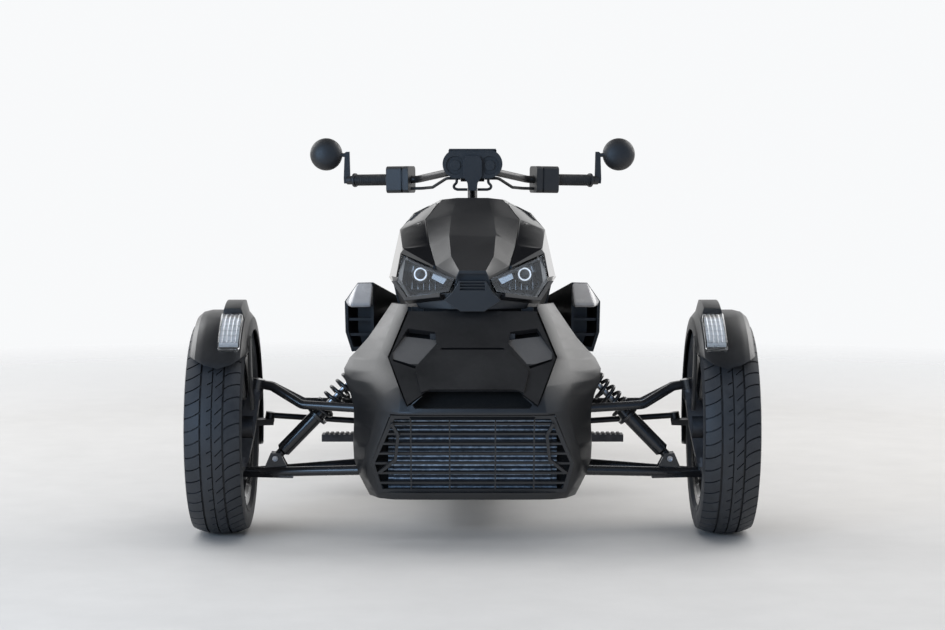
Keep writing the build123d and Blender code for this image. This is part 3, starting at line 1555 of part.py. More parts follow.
# Leads: one from each switch box to the bar clamp, and one loop from each end of the dash to its stem.
lead_radius = 4.5
loop_radius = 4
lead_exit = bar_knee + bar_out * (switch_start - 0.8)
lead_start = Vector(lead_exit.X, lead_exit.Y, lead_exit.Z - 27)
lead_route = [
    lead_start,
    lead_start - bar_out * 32,
    (118, behind(596), 934),
    (76, behind(549), 961),
    (clamp_width / 2 + seat_gap, behind(549), 961),
]
loop_low = dash_z - dash_height / 2 - seat_gap
loop_route = [
    (46, behind(477), loop_low),
    (46, behind(477), loop_low - 12),
    (60, behind(473), loop_low - 26),
    (44, behind(470), loop_low - 32),
    (14.5, behind(470), loop_low - 32),
]
with BuildPart() as left_lead:
    tube(lead_route, lead_radius, 16)
with BuildPart() as left_loop:
    tube(loop_route, loop_radius, 8)
with BuildPart() as control_leads:
    for lead in (left_lead, left_loop):
        add(lead.part)
        add(mirror(lead.part, about=Plane.YZ))
save(control_leads, "control_leads")
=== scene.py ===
import json
import math
import bpy
from mathutils import Matrix, Vector


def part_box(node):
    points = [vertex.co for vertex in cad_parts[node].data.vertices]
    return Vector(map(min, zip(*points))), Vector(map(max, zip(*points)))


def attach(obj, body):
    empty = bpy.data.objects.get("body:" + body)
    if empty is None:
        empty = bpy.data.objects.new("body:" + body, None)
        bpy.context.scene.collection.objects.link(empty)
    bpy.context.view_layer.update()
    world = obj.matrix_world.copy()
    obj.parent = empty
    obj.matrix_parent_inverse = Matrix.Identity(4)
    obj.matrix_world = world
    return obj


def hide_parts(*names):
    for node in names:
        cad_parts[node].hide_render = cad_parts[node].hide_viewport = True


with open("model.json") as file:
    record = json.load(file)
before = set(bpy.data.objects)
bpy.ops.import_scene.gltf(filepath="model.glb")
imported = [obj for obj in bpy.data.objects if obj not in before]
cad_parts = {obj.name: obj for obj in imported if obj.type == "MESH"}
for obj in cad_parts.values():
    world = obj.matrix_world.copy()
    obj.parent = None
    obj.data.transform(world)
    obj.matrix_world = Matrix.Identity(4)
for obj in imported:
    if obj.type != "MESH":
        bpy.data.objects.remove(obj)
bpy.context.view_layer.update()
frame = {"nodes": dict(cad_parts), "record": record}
bodyOf = {node: body for body, nodes in frame["record"]["behaviour"]["bodies"].items() for node in nodes}


# small helpers for selecting, editing and finishing a piece

weldGap = 0.00002            # metres, below which two points are one


def deselectAll():
    if bpy.context.object and bpy.context.object.mode != "OBJECT":
        bpy.ops.object.mode_set(mode="OBJECT")
    for item in bpy.context.selected_objects:
        item.select_set(False)


def makeActive(piece):
    deselectAll()
    piece.select_set(True)
    bpy.context.view_layer.objects.active = piece


def openMesh(piece, kind="FACE"):
    makeActive(piece)
    bpy.ops.object.mode_set(mode="EDIT")
    bpy.ops.mesh.select_mode(type=kind)


def closeMesh():
    bpy.ops.object.mode_set(mode="OBJECT")


def cleanMesh(piece, gap=weldGap):
    openMesh(piece, "VERT")
    bpy.ops.mesh.select_all(action="SELECT")
    bpy.ops.mesh.remove_doubles(threshold=gap)
    bpy.ops.mesh.normals_make_consistent(inside=False)
    closeMesh()


def applyAll(piece):
    makeActive(piece)
    for modifier in list(piece.modifiers):
        bpy.ops.object.modifier_apply(modifier=modifier.name)


def smoothBy(piece, degrees=32):
    makeActive(piece)
    bpy.ops.object.shade_smooth_by_angle(angle=math.radians(degrees))


def roundEdges(piece, width, segments=2, degrees=28, edgeSlot=-1):
    edge = piece.modifiers.new("edge", "BEVEL")
    edge.width = width
    edge.segments = segments
    edge.limit_method = "ANGLE"
    edge.angle_limit = math.radians(degrees)
    edge.material = edgeSlot
    edge.use_clamp_overlap = True
    applyAll(piece)


def evenNormals(piece):
    weighted = piece.modifiers.new("even", "WEIGHTED_NORMAL")
    weighted.keep_sharp = True
    applyAll(piece)


def cutAway(piece, cutter):
    cut = piece.modifiers.new("cut", "BOOLEAN")
    cut.object = cutter
    cut.operation = "DIFFERENCE"
    applyAll(piece)
    bpy.data.objects.remove(cutter)


def joinPieces(name, parts):
    deselectAll()
    for part in parts:
        part.select_set(True)
    bpy.context.view_layer.objects.active = parts[0]
    if len(parts) > 1:
        bpy.ops.object.join()
    return nameAs(name)


def nameAs(name):
    piece = bpy.context.object
    piece.name = name
    piece.data.name = name
    return piece


def settle():
    # puts an object's place into its mesh
    bpy.ops.object.transform_apply(location=True, rotation=True, scale=True)


def copyNode(name, node):
    # a free copy of a solid's mesh, as a start for a piece
    piece = bpy.data.objects.new(name, frame["nodes"][node].data.copy())
    bpy.context.scene.collection.objects.link(piece)
    return piece


def thicken(piece, depth):
    thick = piece.modifiers.new("thick", "SOLIDIFY")
    thick.thickness = depth
    thick.offset = 0
    applyAll(piece)
    cleanMesh(piece)


def alongAxis(origin, direction):
    # a frame whose Z runs along a direction from an origin
    turn = Vector(direction).to_track_quat("Z", "Y").to_matrix().to_4x4()
    return Matrix.Translation(Vector(origin)) @ turn


def spinProfile(name, profile, steps, matrix, closed=True):
    # turns (radius, height) points round Z, then sets the shape on its own axis
    deselectAll()
    bpy.ops.mesh.primitive_circle_add(vertices=max(3, len(profile)), radius=1, fill_type="NOTHING")
    piece = nameAs(name)
    for vertex, (radius, height) in zip(piece.data.vertices, profile):
        vertex.co = (radius, 0, height)
    openMesh(piece, "EDGE")
    if not closed:
        bpy.ops.mesh.select_all(action="DESELECT")
        closeMesh()
        last = len(profile) - 1
        for edge in piece.data.edges:
            edge.select = set(edge.vertices) == {0, last}
        bpy.ops.object.mode_set(mode="EDIT")
        bpy.ops.mesh.delete(type="EDGE_FACE")
    bpy.ops.mesh.select_all(action="SELECT")
    fullTurn = 2 * math.pi
    bpy.ops.mesh.spin(steps=steps, angle=fullTurn, center=(0, 0, 0), axis=(0, 0, 1), use_auto_merge=True)
    closeMesh()
    cleanMesh(piece)
    piece.data.transform(matrix)
    return piece


def slab(name, low, high):
    # a squared block between two corners
    deselectAll()
    size = [b - a for a, b in zip(low, high)]
    middle = [(a + b) / 2 for a, b in zip(low, high)]
    bpy.ops.mesh.primitive_cube_add(size=1, location=middle, scale=size)
    settle()
    return nameAs(name)


def bar(name, start, end, radius, sides=16):
    deselectAll()
    run = Vector(end) - Vector(start)
    bpy.ops.mesh.primitive_cylinder_add(vertices=sides, radius=radius, depth=run.length)
    piece = nameAs(name)
    piece.data.transform(alongAxis((Vector(start) + Vector(end)) / 2, run))
    return piece


def plate(name, corners, depth):
    # a flat piece between corners, thickened to both sides
    deselectAll()
    bpy.ops.mesh.primitive_circle_add(vertices=len(corners), radius=1, fill_type="NGON")
    piece = nameAs(name)
    for vertex, corner in zip(piece.data.vertices, corners):
        vertex.co = corner
    thicken(piece, depth)
    return piece


def wrapGrid(name, columns, rows, depth, placePoint):
    # a sheet whose points are set by a function of two shares from 0 to 1, then thickened
    deselectAll()
    bpy.ops.mesh.primitive_grid_add(x_subdivisions=columns, y_subdivisions=rows, size=1)
    piece = nameAs(name)
    for index, vertex in enumerate(piece.data.vertices):
        row, column = divmod(index, columns + 1)
        vertex.co = placePoint(column / columns, row / rows)
    thicken(piece, depth)
    smoothBy(piece, 40)
    return piece


def dress(piece, finish):
    piece.data.materials.clear()
    piece.data.materials.append(finishes[finish])
    return piece


def finishPiece(piece, body, stands=()):
    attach(piece, body)
    if stands:
        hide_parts(*stands)
    return piece


# node groups that several finishes share

def startGroup(name, inputs, outputs):
    tree = bpy.data.node_groups.new(name, "ShaderNodeTree")
    for label, kind, value in inputs:
        socket = tree.interface.new_socket(label, in_out="INPUT", socket_type=kind)
        if value is not None:
            socket.default_value = value
    for label in outputs:
        tree.interface.new_socket(label, in_out="OUTPUT", socket_type="NodeSocketFloat")
    return tree, tree.nodes.new("NodeGroupInput"), tree.nodes.new("NodeGroupOutput")


def addNode(tree, kind, **settings):
    node = tree.nodes.new(kind)
    for name, value in settings.items():
        setattr(node, name, value)
    return node


def addMath(tree, operation, first, second=None):
    node = addNode(tree, "ShaderNodeMath", operation=operation)
    for socket, value in zip(node.inputs, (first, second)):
        if isinstance(value, (int, float)):
            socket.default_value = value
        elif value is not None:
            tree.links.new(value, socket)
    return node.outputs[0]


def addRange(tree, source, lowIn, highIn, lowOut, highOut):
    node = addNode(tree, "ShaderNodeMapRange")
    tree.links.new(source, node.inputs["Value"])
    for label, value in zip(("From Min", "From Max", "To Min", "To Max"), (lowIn, highIn, lowOut, highOut)):
        node.inputs[label].default_value = value
    return node.outputs["Result"]


def addNoise(tree, vector, scale, detail=3.0, rough=0.55):
    node = addNode(tree, "ShaderNodeTexNoise")
    tree.links.new(vector, node.inputs["Vector"])
    if isinstance(scale, (int, float)):
        node.inputs["Scale"].default_value = scale
    else:
        tree.links.new(scale, node.inputs["Scale"])
    node.inputs["Detail"].default_value = detail
    node.inputs["Roughness"].default_value = rough
    return node.outputs["Fac"]


def makeMouldGrain():
    inputs = [("Grain Scale", "NodeSocketFloat", 800.0), ("Patch Scale", "NodeSocketFloat", 9.0)]
    tree, entry, leave = startGroup("mouldGrain", inputs, ("Height", "Patch"))
    place = addNode(tree, "ShaderNodeTexCoord").outputs["Object"]
    fine = addNoise(tree, place, entry.outputs["Grain Scale"], 2.0)
    cells = addNode(tree, "ShaderNodeTexVoronoi")
    tree.links.new(place, cells.inputs["Vector"])
    tree.links.new(entry.outputs["Grain Scale"], cells.inputs["Scale"])
    height = addMath(tree, "ADD", fine, cells.outputs["Distance"])
    tree.links.new(height, leave.inputs["Height"])
    patch = addNoise(tree, place, entry.outputs["Patch Scale"], 5.0, 0.6)
    tree.links.new(addRange(tree, patch, 0.32, 0.68, 0, 1), leave.inputs["Patch"])
    return tree


def makeDustFall():
    inputs = [("Amount", "NodeSocketFloat", 0.2), ("Speck Scale", "NodeSocketFloat", 60.0)]
    tree, entry, leave = startGroup("dustFall", inputs, ("Mask",))
    place = addNode(tree, "ShaderNodeTexCoord").outputs["Object"]
    facing = addNode(tree, "ShaderNodeSeparateXYZ")
    tree.links.new(addNode(tree, "ShaderNodeNewGeometry").outputs["Normal"], facing.inputs[0])
    upward = addRange(tree, facing.outputs["Z"], 0.1, 1.0, 0, 1)
    specks = addRange(tree, addNoise(tree, place, entry.outputs["Speck Scale"], 6.0, 0.7), 0.4, 0.75, 0, 1)
    mask = addMath(tree, "MULTIPLY", addMath(tree, "MULTIPLY", upward, specks), entry.outputs["Amount"])
    tree.links.new(mask, leave.inputs["Mask"])
    return tree


def makePaintFlow():
    inputs = [("Wave Scale", "NodeSocketFloat", 160.0)]
    tree, entry, leave = startGroup("paintFlow", inputs, ("Height", "Haze"))
    place = addNode(tree, "ShaderNodeTexCoord").outputs["Object"]
    tree.links.new(addNoise(tree, place, entry.outputs["Wave Scale"], 1.0), leave.inputs["Height"])
    haze = addRange(tree, addNoise(tree, place, 14.0, 4.0), 0.35, 0.7, 0, 1)
    tree.links.new(haze, leave.inputs["Haze"])
    return tree


def makeTurnedRings():
    inputs = [("Vector", "NodeSocketVector", None), ("Ring Scale", "NodeSocketFloat", 900.0)]
    tree, entry, leave = startGroup("turnedRings", inputs, ("Height", "Sheen"))
    parts = addNode(tree, "ShaderNodeSeparateXYZ")
    tree.links.new(entry.outputs["Vector"], parts.inputs[0])
    square = addMath(tree, "ADD", addMath(tree, "POWER", parts.outputs["Y"], 2.0),
                     addMath(tree, "POWER", parts.outputs["Z"], 2.0))
    radius = addMath(tree, "SQRT", square)
    joined = addNode(tree, "ShaderNodeCombineXYZ")
    tree.links.new(radius, joined.inputs["X"])
    rings = addNoise(tree, joined.outputs[0], entry.outputs["Ring Scale"], 3.0, 0.7)
    tree.links.new(rings, leave.inputs["Height"])
    tree.links.new(addRange(tree, rings, 0.3, 0.7, 0, 1), leave.inputs["Sheen"])
    return tree


groupMakers = (makeMouldGrain, makeDustFall, makePaintFlow, makeTurnedRings)
groups = {tree.name: tree for tree in [maker() for maker in groupMakers]}
print("node groups:", ", ".join(groups))


# finishes

def startFinish(name, **sockets):
    finish = bpy.data.materials.new(name)
    finish.use_nodes = True
    shader = finish.node_tree.nodes["Principled BSDF"]
    for label, value in sockets.items():
        shader.inputs[label.replace("_", " ")].default_value = value
    return finish, finish.node_tree, shader


def placeGroup(tree, name, **values):
    node = addNode(tree, "ShaderNodeGroup", node_tree=groups[name])
    for label, value in values.items():
        node.inputs[label.replace("_", " ")].default_value = value
    return node


def mixColours(tree, mask, first, second):
    node = addNode(tree, "ShaderNodeMix", data_type="RGBA")
    tree.links.new(mask, node.inputs["Factor"])
    for socket, value in ((node.inputs[6], first), (node.inputs[7], second)):
        if isinstance(value, tuple):
            socket.default_value = (*value, 1)
        else:
            tree.links.new(value, socket)
    return node.outputs[2]


def addBump(tree, shader, height, strength, depth):
    bump = addNode(tree, "ShaderNodeBump")
    bump.inputs["Strength"].default_value = strength
    bump.inputs["Distance"].default_value = depth
    tree.links.new(height, bump.inputs["Height"])
    tree.links.new(bump.outputs[0], shader.inputs["Normal"])


def setBase(tree, shader, mask, first, second):
    tree.links.new(mixColours(tree, mask, first, second), shader.inputs["Base Color"])


def setRough(tree, shader, mask, low, high):
    tree.links.new(addRange(tree, mask, 0, 1, low, high), shader.inputs["Roughness"])


dustTone = (0.20, 0.19, 0.175)


def mouldedFinish(name, tone, sheen, roughLow, roughHigh, grain, depth, dust):
    # grained moulded plastic, with a soft patchiness and a little dust on top
    finish, tree, shader = startFinish(name, Specular_IOR_Level=0.7)
    grainNode = placeGroup(tree, "mouldGrain", Grain_Scale=grain, Patch_Scale=7.0)
    dustNode = placeGroup(tree, "dustFall", Amount=dust, Speck_Scale=90.0)
    base = mixColours(tree, grainNode.outputs["Patch"], tone, sheen)
    setBase(tree, shader, dustNode.outputs["Mask"], base, dustTone)
    setRough(tree, shader, grainNode.outputs["Patch"], roughLow, roughHigh)
    addBump(tree, shader, grainNode.outputs["Height"], 0.35, depth)
    return finish


def paintedFinish(name, tone, sheen, roughLow, roughHigh, coat, wave, dust):
    # sprayed paint that flowed a little before it set
    finish, tree, shader = startFinish(name, Coat_Weight=coat, Coat_Roughness=0.04)
    flow = placeGroup(tree, "paintFlow", Wave_Scale=wave)
    dustNode = placeGroup(tree, "dustFall", Amount=dust, Speck_Scale=120.0)
    base = mixColours(tree, flow.outputs["Haze"], tone, sheen)
    setBase(tree, shader, dustNode.outputs["Mask"], base, dustTone)
    setRough(tree, shader, flow.outputs["Haze"], roughLow, roughHigh)
    addBump(tree, shader, flow.outputs["Height"], 0.25, 0.0002)
    return finish


def metalFinish(name, tone, sheen, roughLow, roughHigh, grain, depth):
    # cast or rolled metal with a fine skin
    finish, tree, shader = startFinish(name, Metallic=1.0)
    grainNode = placeGroup(tree, "mouldGrain", Grain_Scale=grain, Patch_Scale=24.0)
    setBase(tree, shader, grainNode.outputs["Patch"], tone, sheen)
    setRough(tree, shader, grainNode.outputs["Patch"], roughLow, roughHigh)
    addBump(tree, shader, grainNode.outputs["Height"], 0.3, depth)
    return finish


def turnedFinish(name, centre, tone, sheen):
    # steel turned on a lathe, its rings centred on the axle
    finish, tree, shader = startFinish(name, Metallic=1.0, Anisotropic=0.5)
    mapping = addNode(tree, "ShaderNodeMapping")
    mapping.inputs["Location"].default_value = [-value for value in centre]
    tree.links.new(addNode(tree, "ShaderNodeTexCoord").outputs["Object"], mapping.inputs["Vector"])
    rings = placeGroup(tree, "turnedRings", Ring_Scale=1400.0)
    tree.links.new(mapping.outputs[0], rings.inputs["Vector"])
    setBase(tree, shader, rings.outputs["Sheen"], tone, sheen)
    setRough(tree, shader, rings.outputs["Sheen"], 0.22, 0.38)
    addBump(tree, shader, rings.outputs["Height"], 0.3, 0.0001)
    return finish


def rubberFinish(name, tone, worn, roughLow, roughHigh):
    # tyre rubber, greyer where it is scuffed
    finish, tree, shader = startFinish(name, Specular_IOR_Level=0.42)
    grain = placeGroup(tree, "mouldGrain", Grain_Scale=500.0, Patch_Scale=30.0)
    dustNode = placeGroup(tree, "dustFall", Amount=0.06, Speck_Scale=200.0)
    base = mixColours(tree, grain.outputs["Patch"], tone, worn)
    setBase(tree, shader, dustNode.outputs["Mask"], base, dustTone)
    setRough(tree, shader, grain.outputs["Patch"], roughLow, roughHigh)
    addBump(tree, shader, grain.outputs["Height"], 0.4, 0.0003)
    return finish


def finnedFinish(name, tube, gap, pitch):
    # a radiator core: bright flat tubes with darker rows of fins between them; the darker rows are painted
    # shade in the deep fins
    finish, tree, shader = startFinish(name, Metallic=0.7)
    place = addNode(tree, "ShaderNodeTexCoord").outputs["Object"]
    parts = addNode(tree, "ShaderNodeSeparateXYZ")
    tree.links.new(place, parts.inputs[0])
    rows = addMath(tree, "PINGPONG", parts.outputs["Z"], pitch / 2)
    mask = addRange(tree, rows, 0.28 * pitch, 0.36 * pitch, 0, 1)
    fins = addMath(tree, "PINGPONG", parts.outputs["X"], 0.0012)
    speck = addRange(tree, addNoise(tree, place, 90.0, 4.0, 0.7), 0.35, 0.7, 0.35, 1.0)
    base = mixColours(tree, mask, gap, tube)
    setBase(tree, shader, speck, tuple(0.3 * part for part in gap), base)
    setRough(tree, shader, speck, 0.55, 0.32)
    height = addMath(tree, "ADD", addMath(tree, "MULTIPLY", fins, 300.0), mask)
    addBump(tree, shader, height, 0.5, 0.0015)
    return finish


def clearFinish(name, tint, ior, rough):
    # clear moulded lens with a faint ripple
    finish, tree, shader = startFinish(name, Transmission_Weight=1.0, IOR=ior)
    flow = placeGroup(tree, "paintFlow", Wave_Scale=120.0)
    setBase(tree, shader, flow.outputs["Haze"], tint, tuple(0.96 * part for part in tint))
    setRough(tree, shader, flow.outputs["Haze"], rough, rough + 0.03)
    addBump(tree, shader, flow.outputs["Height"], 0.05, 0.0002)
    return finish


def glowFinish(name, tone, dim, strength):
    # white light guide behind a lens
    finish, tree, shader = startFinish(name, Roughness=0.35, Emission_Strength=strength)
    flow = placeGroup(tree, "paintFlow", Wave_Scale=300.0)
    setBase(tree, shader, flow.outputs["Haze"], tone, dim)
    tree.links.new(mixColours(tree, flow.outputs["Haze"], tone, dim), shader.inputs["Emission Color"])
    return finish


axleOf = {name: sum(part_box("rim_" + name), Vector()) / 2 for name in ("front_left", "front_right", "rear")}
finishes = {
    "satin": mouldedFinish(
        "satinBlack", (0.0095, 0.0097, 0.0105), (0.0145, 0.0147, 0.0155), 0.33, 0.43, 1100, 0.0001, 0.045),
    # a lighter satin for rounded edges: a painted highlight along them
    "satinEdge": mouldedFinish(
        "satinBlackEdgeHighlight", (0.022, 0.022, 0.023), (0.032, 0.032, 0.033), 0.30, 0.38, 1100, 0.0001, 0.03),
    # the hood pads' lighter grey is a painted highlight for the light their leaning faces catch
    "padPaintedLight": mouldedFinish(
        "padPaintedHighlight", (0.060, 0.060, 0.062), (0.080, 0.080, 0.081), 0.38, 0.48, 900, 0.0001, 0.06),
    # the duct lids' light grey is a painted reflection of the bright room on a gloss black part
    "paintedReflectionLid": paintedFinish("lidPaintedReflection", (0.34, 0.34, 0.35), (0.42, 0.42, 0.43), 0.2, 0.32, 0.5, 200, 0.04),
    # near black for the nose liner: painted shade in the deep recess under the hood
    "paintedShade": rubberFinish("recessPaintedShade", (0.003, 0.003, 0.003), (0.005, 0.005, 0.005), 0.75, 0.9),
    "gloss": paintedFinish(
        "glossBlack", (0.004, 0.004, 0.0045), (0.006, 0.006, 0.0065), 0.05, 0.12, 1.0, 120, 0.02),
    "control": mouldedFinish(
        "controlBlack", (0.011, 0.011, 0.012), (0.017, 0.017, 0.018), 0.42, 0.55, 900, 0.0002, 0.06),
    "grip": mouldedFinish(
        "gripRubber", (0.010, 0.010, 0.010), (0.017, 0.017, 0.017), 0.6, 0.75, 600, 0.0004, 0.08),
    "frame": paintedFinish(
        "framePaint", (0.011, 0.011, 0.012), (0.017, 0.017, 0.018), 0.3, 0.42, 0.2, 260, 0.10),
    "arm": paintedFinish(
        "armPaint", (0.007, 0.0075, 0.009), (0.012, 0.012, 0.014), 0.22, 0.34, 0.5, 240, 0.06),
    "cast": metalFinish("castGrey", (0.07, 0.07, 0.074), (0.12, 0.12, 0.125), 0.42, 0.58, 420, 0.0004),
    "engine": metalFinish("engineGrey", (0.05, 0.05, 0.053), (0.09, 0.09, 0.094), 0.45, 0.6, 380, 0.0005),
    "steel": metalFinish("zincSteel", (0.42, 0.42, 0.43), (0.60, 0.60, 0.61), 0.24, 0.36, 700, 0.0001),
    "blackSteel": metalFinish(
        "blackSteel", (0.035, 0.035, 0.037), (0.06, 0.06, 0.062), 0.3, 0.42, 700, 0.0001),
    "exhaust": metalFinish(
        "exhaustSteel", (0.16, 0.155, 0.15), (0.26, 0.25, 0.24), 0.28, 0.42, 300, 0.0002),
    "rim": paintedFinish(
        "rimBlack", (0.008, 0.008, 0.0085), (0.013, 0.013, 0.0135), 0.16, 0.26, 0.6, 200, 0.05),
    # the radiator's dark fin tone is painted shade between the tubes
    "radiator": finnedFinish("radiatorCore", (0.46, 0.56, 0.68), (0.030, 0.036, 0.046), 0.0118),
    # the tyre's faint blue cast is a painted reflection of the blue light from the front; the rubber itself
    # is black
    "tyre": rubberFinish("tyreRubber", (0.020, 0.022, 0.026), (0.032, 0.035, 0.040), 0.46, 0.6),
    "lens": clearFinish("clearLens", (0.74, 0.80, 0.87), 1.45, 0.0),
    "ribLens": clearFinish("ribLens", (0.95, 0.97, 1.0), 1.45, 0.02),
    "redLens": clearFinish("redLens", (0.75, 0.02, 0.02), 1.45, 0.03),
    "mirror": metalFinish("mirrorGlass", (0.80, 0.82, 0.83), (0.84, 0.86, 0.87), 0.01, 0.03, 200, 0.0),
    "reflector": metalFinish(
        "reflectorChrome", (0.55, 0.62, 0.70), (0.68, 0.75, 0.83), 0.10, 0.20, 300, 0.0001),
    "bowl": metalFinish("lampBowl", (0.010, 0.014, 0.019), (0.020, 0.027, 0.035), 0.2, 0.32, 300, 0.0001),
    "lampPlate": metalFinish(
        "lampPlate", (0.15, 0.175, 0.20), (0.26, 0.29, 0.33), 0.26, 0.40, 300, 0.0002),
    "ring": glowFinish("lightGuide", (0.95, 0.97, 1.0), (0.88, 0.92, 0.97), 0.75),
    "screen": paintedFinish(
        "screenBlack", (0.003, 0.003, 0.004), (0.005, 0.006, 0.008), 0.06, 0.12, 1.0, 90, 0.01),
    "seat": mouldedFinish(
        "seatCover", (0.011, 0.011, 0.011), (0.018, 0.018, 0.018), 0.5, 0.62, 420, 0.0006, 0.06),
}
for name, centre in axleOf.items():
    finishes["disc_" + name] = turnedFinish("disc_" + name, centre, (0.42, 0.42, 0.43), (0.58, 0.58, 0.59))
print("finishes:", len(finishes))


# panels and castings keep the solid's form, with their edges rounded as moulded

mouthPlan = {"half": [(0.122, 0.407), (0.157, 0.375), (0.150, 0.366)], "place": -1.150, "depth": 0.10}
flatAngle = 0.8              # degrees, below which neighbouring faces are one
softLimit = 45               # degrees of smoothing, from which a panel keeps its plain normals


def openNose(piece):
    # the nose is drawn from its left half, with the mouth under the hood cut into its brow
    twin = piece.modifiers.new("twin", "MIRROR")
    twin.use_axis[0] = True
    twin.use_bisect_axis[0] = True
    applyAll(piece)
    corners = [(x, mouthPlan["place"], z) for x, z in mouthPlan["half"]]
    corners += [(-x, y, z) for x, y, z in reversed(corners)]
    cutAway(piece, plate("mouth", corners, mouthPlan["depth"]))


def dressNode(node, width, slot, finish, edgeFinish=None, segments=2, degrees=24, soft=32, reshape=None):
    piece = copyNode("dressed_" + node, node)
    openMesh(piece, "VERT")
    bpy.ops.mesh.customdata_custom_splitnormals_clear()
    bpy.ops.mesh.select_all(action="SELECT")
    bpy.ops.mesh.remove_doubles(threshold=weldGap)
    closeMesh()
    if reshape:
        reshape(piece)
    openMesh(piece, "VERT")
    bpy.ops.mesh.select_all(action="SELECT")
    bpy.ops.mesh.dissolve_limited(angle_limit=math.radians(flatAngle))
    closeMesh()
    piece.data.materials.clear()
    piece.data.materials.append(finishes[finish])
    piece.data.materials.append(finishes[edgeFinish or finish])
    for face in piece.data.polygons:
        face.material_index = 0
    roundEdges(piece, width, segments, degrees, edgeSlot=1)
    smoothBy(piece, soft)
    if soft < softLimit:
        evenNormals(piece)
    return finishPiece(piece, bodyOf[node], (node,))


# node: (edge radius in metres, slot in the record, finish), and then where they are not the usual ones
# the edges' finish, steps of an edge, the angles for rounding and smoothing, and a change of shape
# where a panel's edges take the lighter edge satin, that is a painted highlight along its rounded edges
panelDress = {
    "nose_shell": (0.006, "satin_plastic", "satin", "satin", 3, 30, 60, openNose),
    "grille": (0.0012, "satin_plastic", "control"),
    "hood": (0.004, "satin_plastic", "satin", "satinEdge"),
    "cowl": (0.004, "satin_plastic", "satin", "satinEdge"),
    "side_panels": (0.004, "gloss_plastic", "gloss"),
    "lamp_carrier": (0.004, "satin_plastic", "satin"),
    "centre_louvre": (0.002, "satin_plastic", "satin", "satinEdge"),
    "tank_cover": (0.006, "satin_plastic", "satin", "satinEdge"),
    "tail_section": (0.008, "satin_plastic", "satin", "satinEdge"),
    "air_ducts": (0.004, "satin_plastic", "satin", "satinEdge"),
    "side_covers": (0.003, "satin_plastic", "satin", "satinEdge"),
    "belly_pan": (0.004, "satin_plastic", "control"),
    "fender_left": (0.004, "satin_plastic", "satin", "satin", 3, 24, 50),
    "fender_right": (0.004, "satin_plastic", "satin", "satin", 3, 24, 50),
    "rear_fender": (0.003, "satin_plastic", "satin", "satinEdge"),
    "frame": (0.003, "frame_paint", "frame"),
    "upper_arms": (0.002, "arm_paint", "arm"),
    "lower_arms": (0.002, "arm_paint", "arm"),
    "swingarm": (0.005, "frame_paint", "frame"),
    "knuckle_left": (0.003, "arm_paint", "cast"),
    "knuckle_right": (0.003, "arm_paint", "cast"),
    "tie_rod_left": (0.0015, "arm_paint", "blackSteel"),
    "tie_rod_right": (0.0015, "arm_paint", "blackSteel"),
    "rim_front_left": (0.003, "rim_paint", "rim"),
    "rim_front_right": (0.003, "rim_paint", "rim"),
    "rim_rear": (0.003, "rim_paint", "rim"),
    "engine": (0.012, "engine_metal", "engine"),
    "drive_cover": (0.006, "satin_plastic", "engine"),
    "exhaust": (0.006, "exhaust_steel", "exhaust"),
    "footpegs": (0.003, "peg_metal", "cast"),
    "brake_pedal": (0.003, "peg_metal", "blackSteel"),
    "steering_column": (0.002, "bar_paint", "blackSteel"),
    "handlebar": (0.002, "bar_paint", "frame"),
    "hand_controls": (0.004, "control_plastic", "control"),
    "mirrors": (0.002, "mirror_shell", "control"),
    "dash": (0.003, "satin_plastic", "control"),
    "control_leads": (0.0005, "control_plastic", "grip"),
    "radiator": (0.002, "radiator_metal", "radiator"),
    "tail_lamps": (0.003, "tail_lamp_red", "redLens"),
    "headlamp_lenses": (0.0015, "lamp_glass", "lens"),
}
panels = {node: dressNode(node, *choice) for node, choice in panelDress.items()}
print("panels dressed:", len(panels))


# hood pads: the two sunken faces lean back further than the hood, and catch more light; they get a lighter
# grey, a painted highlight for that light

padLean = (0.78, 0.84)       # upward part of a pad's normal
panels["hood"].data.materials.append(finishes["padPaintedLight"])
for face in panels["hood"].data.polygons:
    forward = face.normal.y < -0.5
    if forward and padLean[0] < face.normal.z < padLean[1]:
        face.material_index = 2
print("hood pads done")


# duct lids: a rounded brow over each duct's mouth, in a light grey that is a painted reflection of the
# bright room

lidPlan = {                  # corners in the front view, at two places along the machine
    "back": [(0.286, 0.594), (0.286, 0.664), (0.330, 0.663), (0.367, 0.609), (0.360, 0.594)],
    "front": [(0.291, 0.594), (0.350, 0.594), (0.291, 0.606), (0.346, 0.606)],
    "backPlace": -0.5065, "frontPlace": -0.556, "edge": 0.007,
}


def makeLid(side, plan):
    spots = [(side * x, plan["backPlace"], z) for x, z in plan["back"]]
    spots += [(side * x, plan["frontPlace"], z) for x, z in plan["front"]]
    deselectAll()
    bpy.ops.mesh.primitive_circle_add(vertices=len(spots), radius=1, fill_type="NOTHING")
    piece = nameAs("paintedReflectionLid")
    for vertex, spot in zip(piece.data.vertices, spots):
        vertex.co = spot
    openMesh(piece, "VERT")
    bpy.ops.mesh.select_all(action="SELECT")
    bpy.ops.mesh.convex_hull()
    closeMesh()
    cleanMesh(piece)
    roundEdges(piece, plan["edge"], 3)
    smoothBy(piece, 50)
    return dress(piece, "paintedReflectionLid")


lids = joinPieces("duct_lids", [makeLid(side, lidPlan) for side in (-1, 1)])
finishPiece(lids, "chassis")
print("duct lids done")


# tyres: one grid wrapped round the axle, its grooves and sipes pressed in

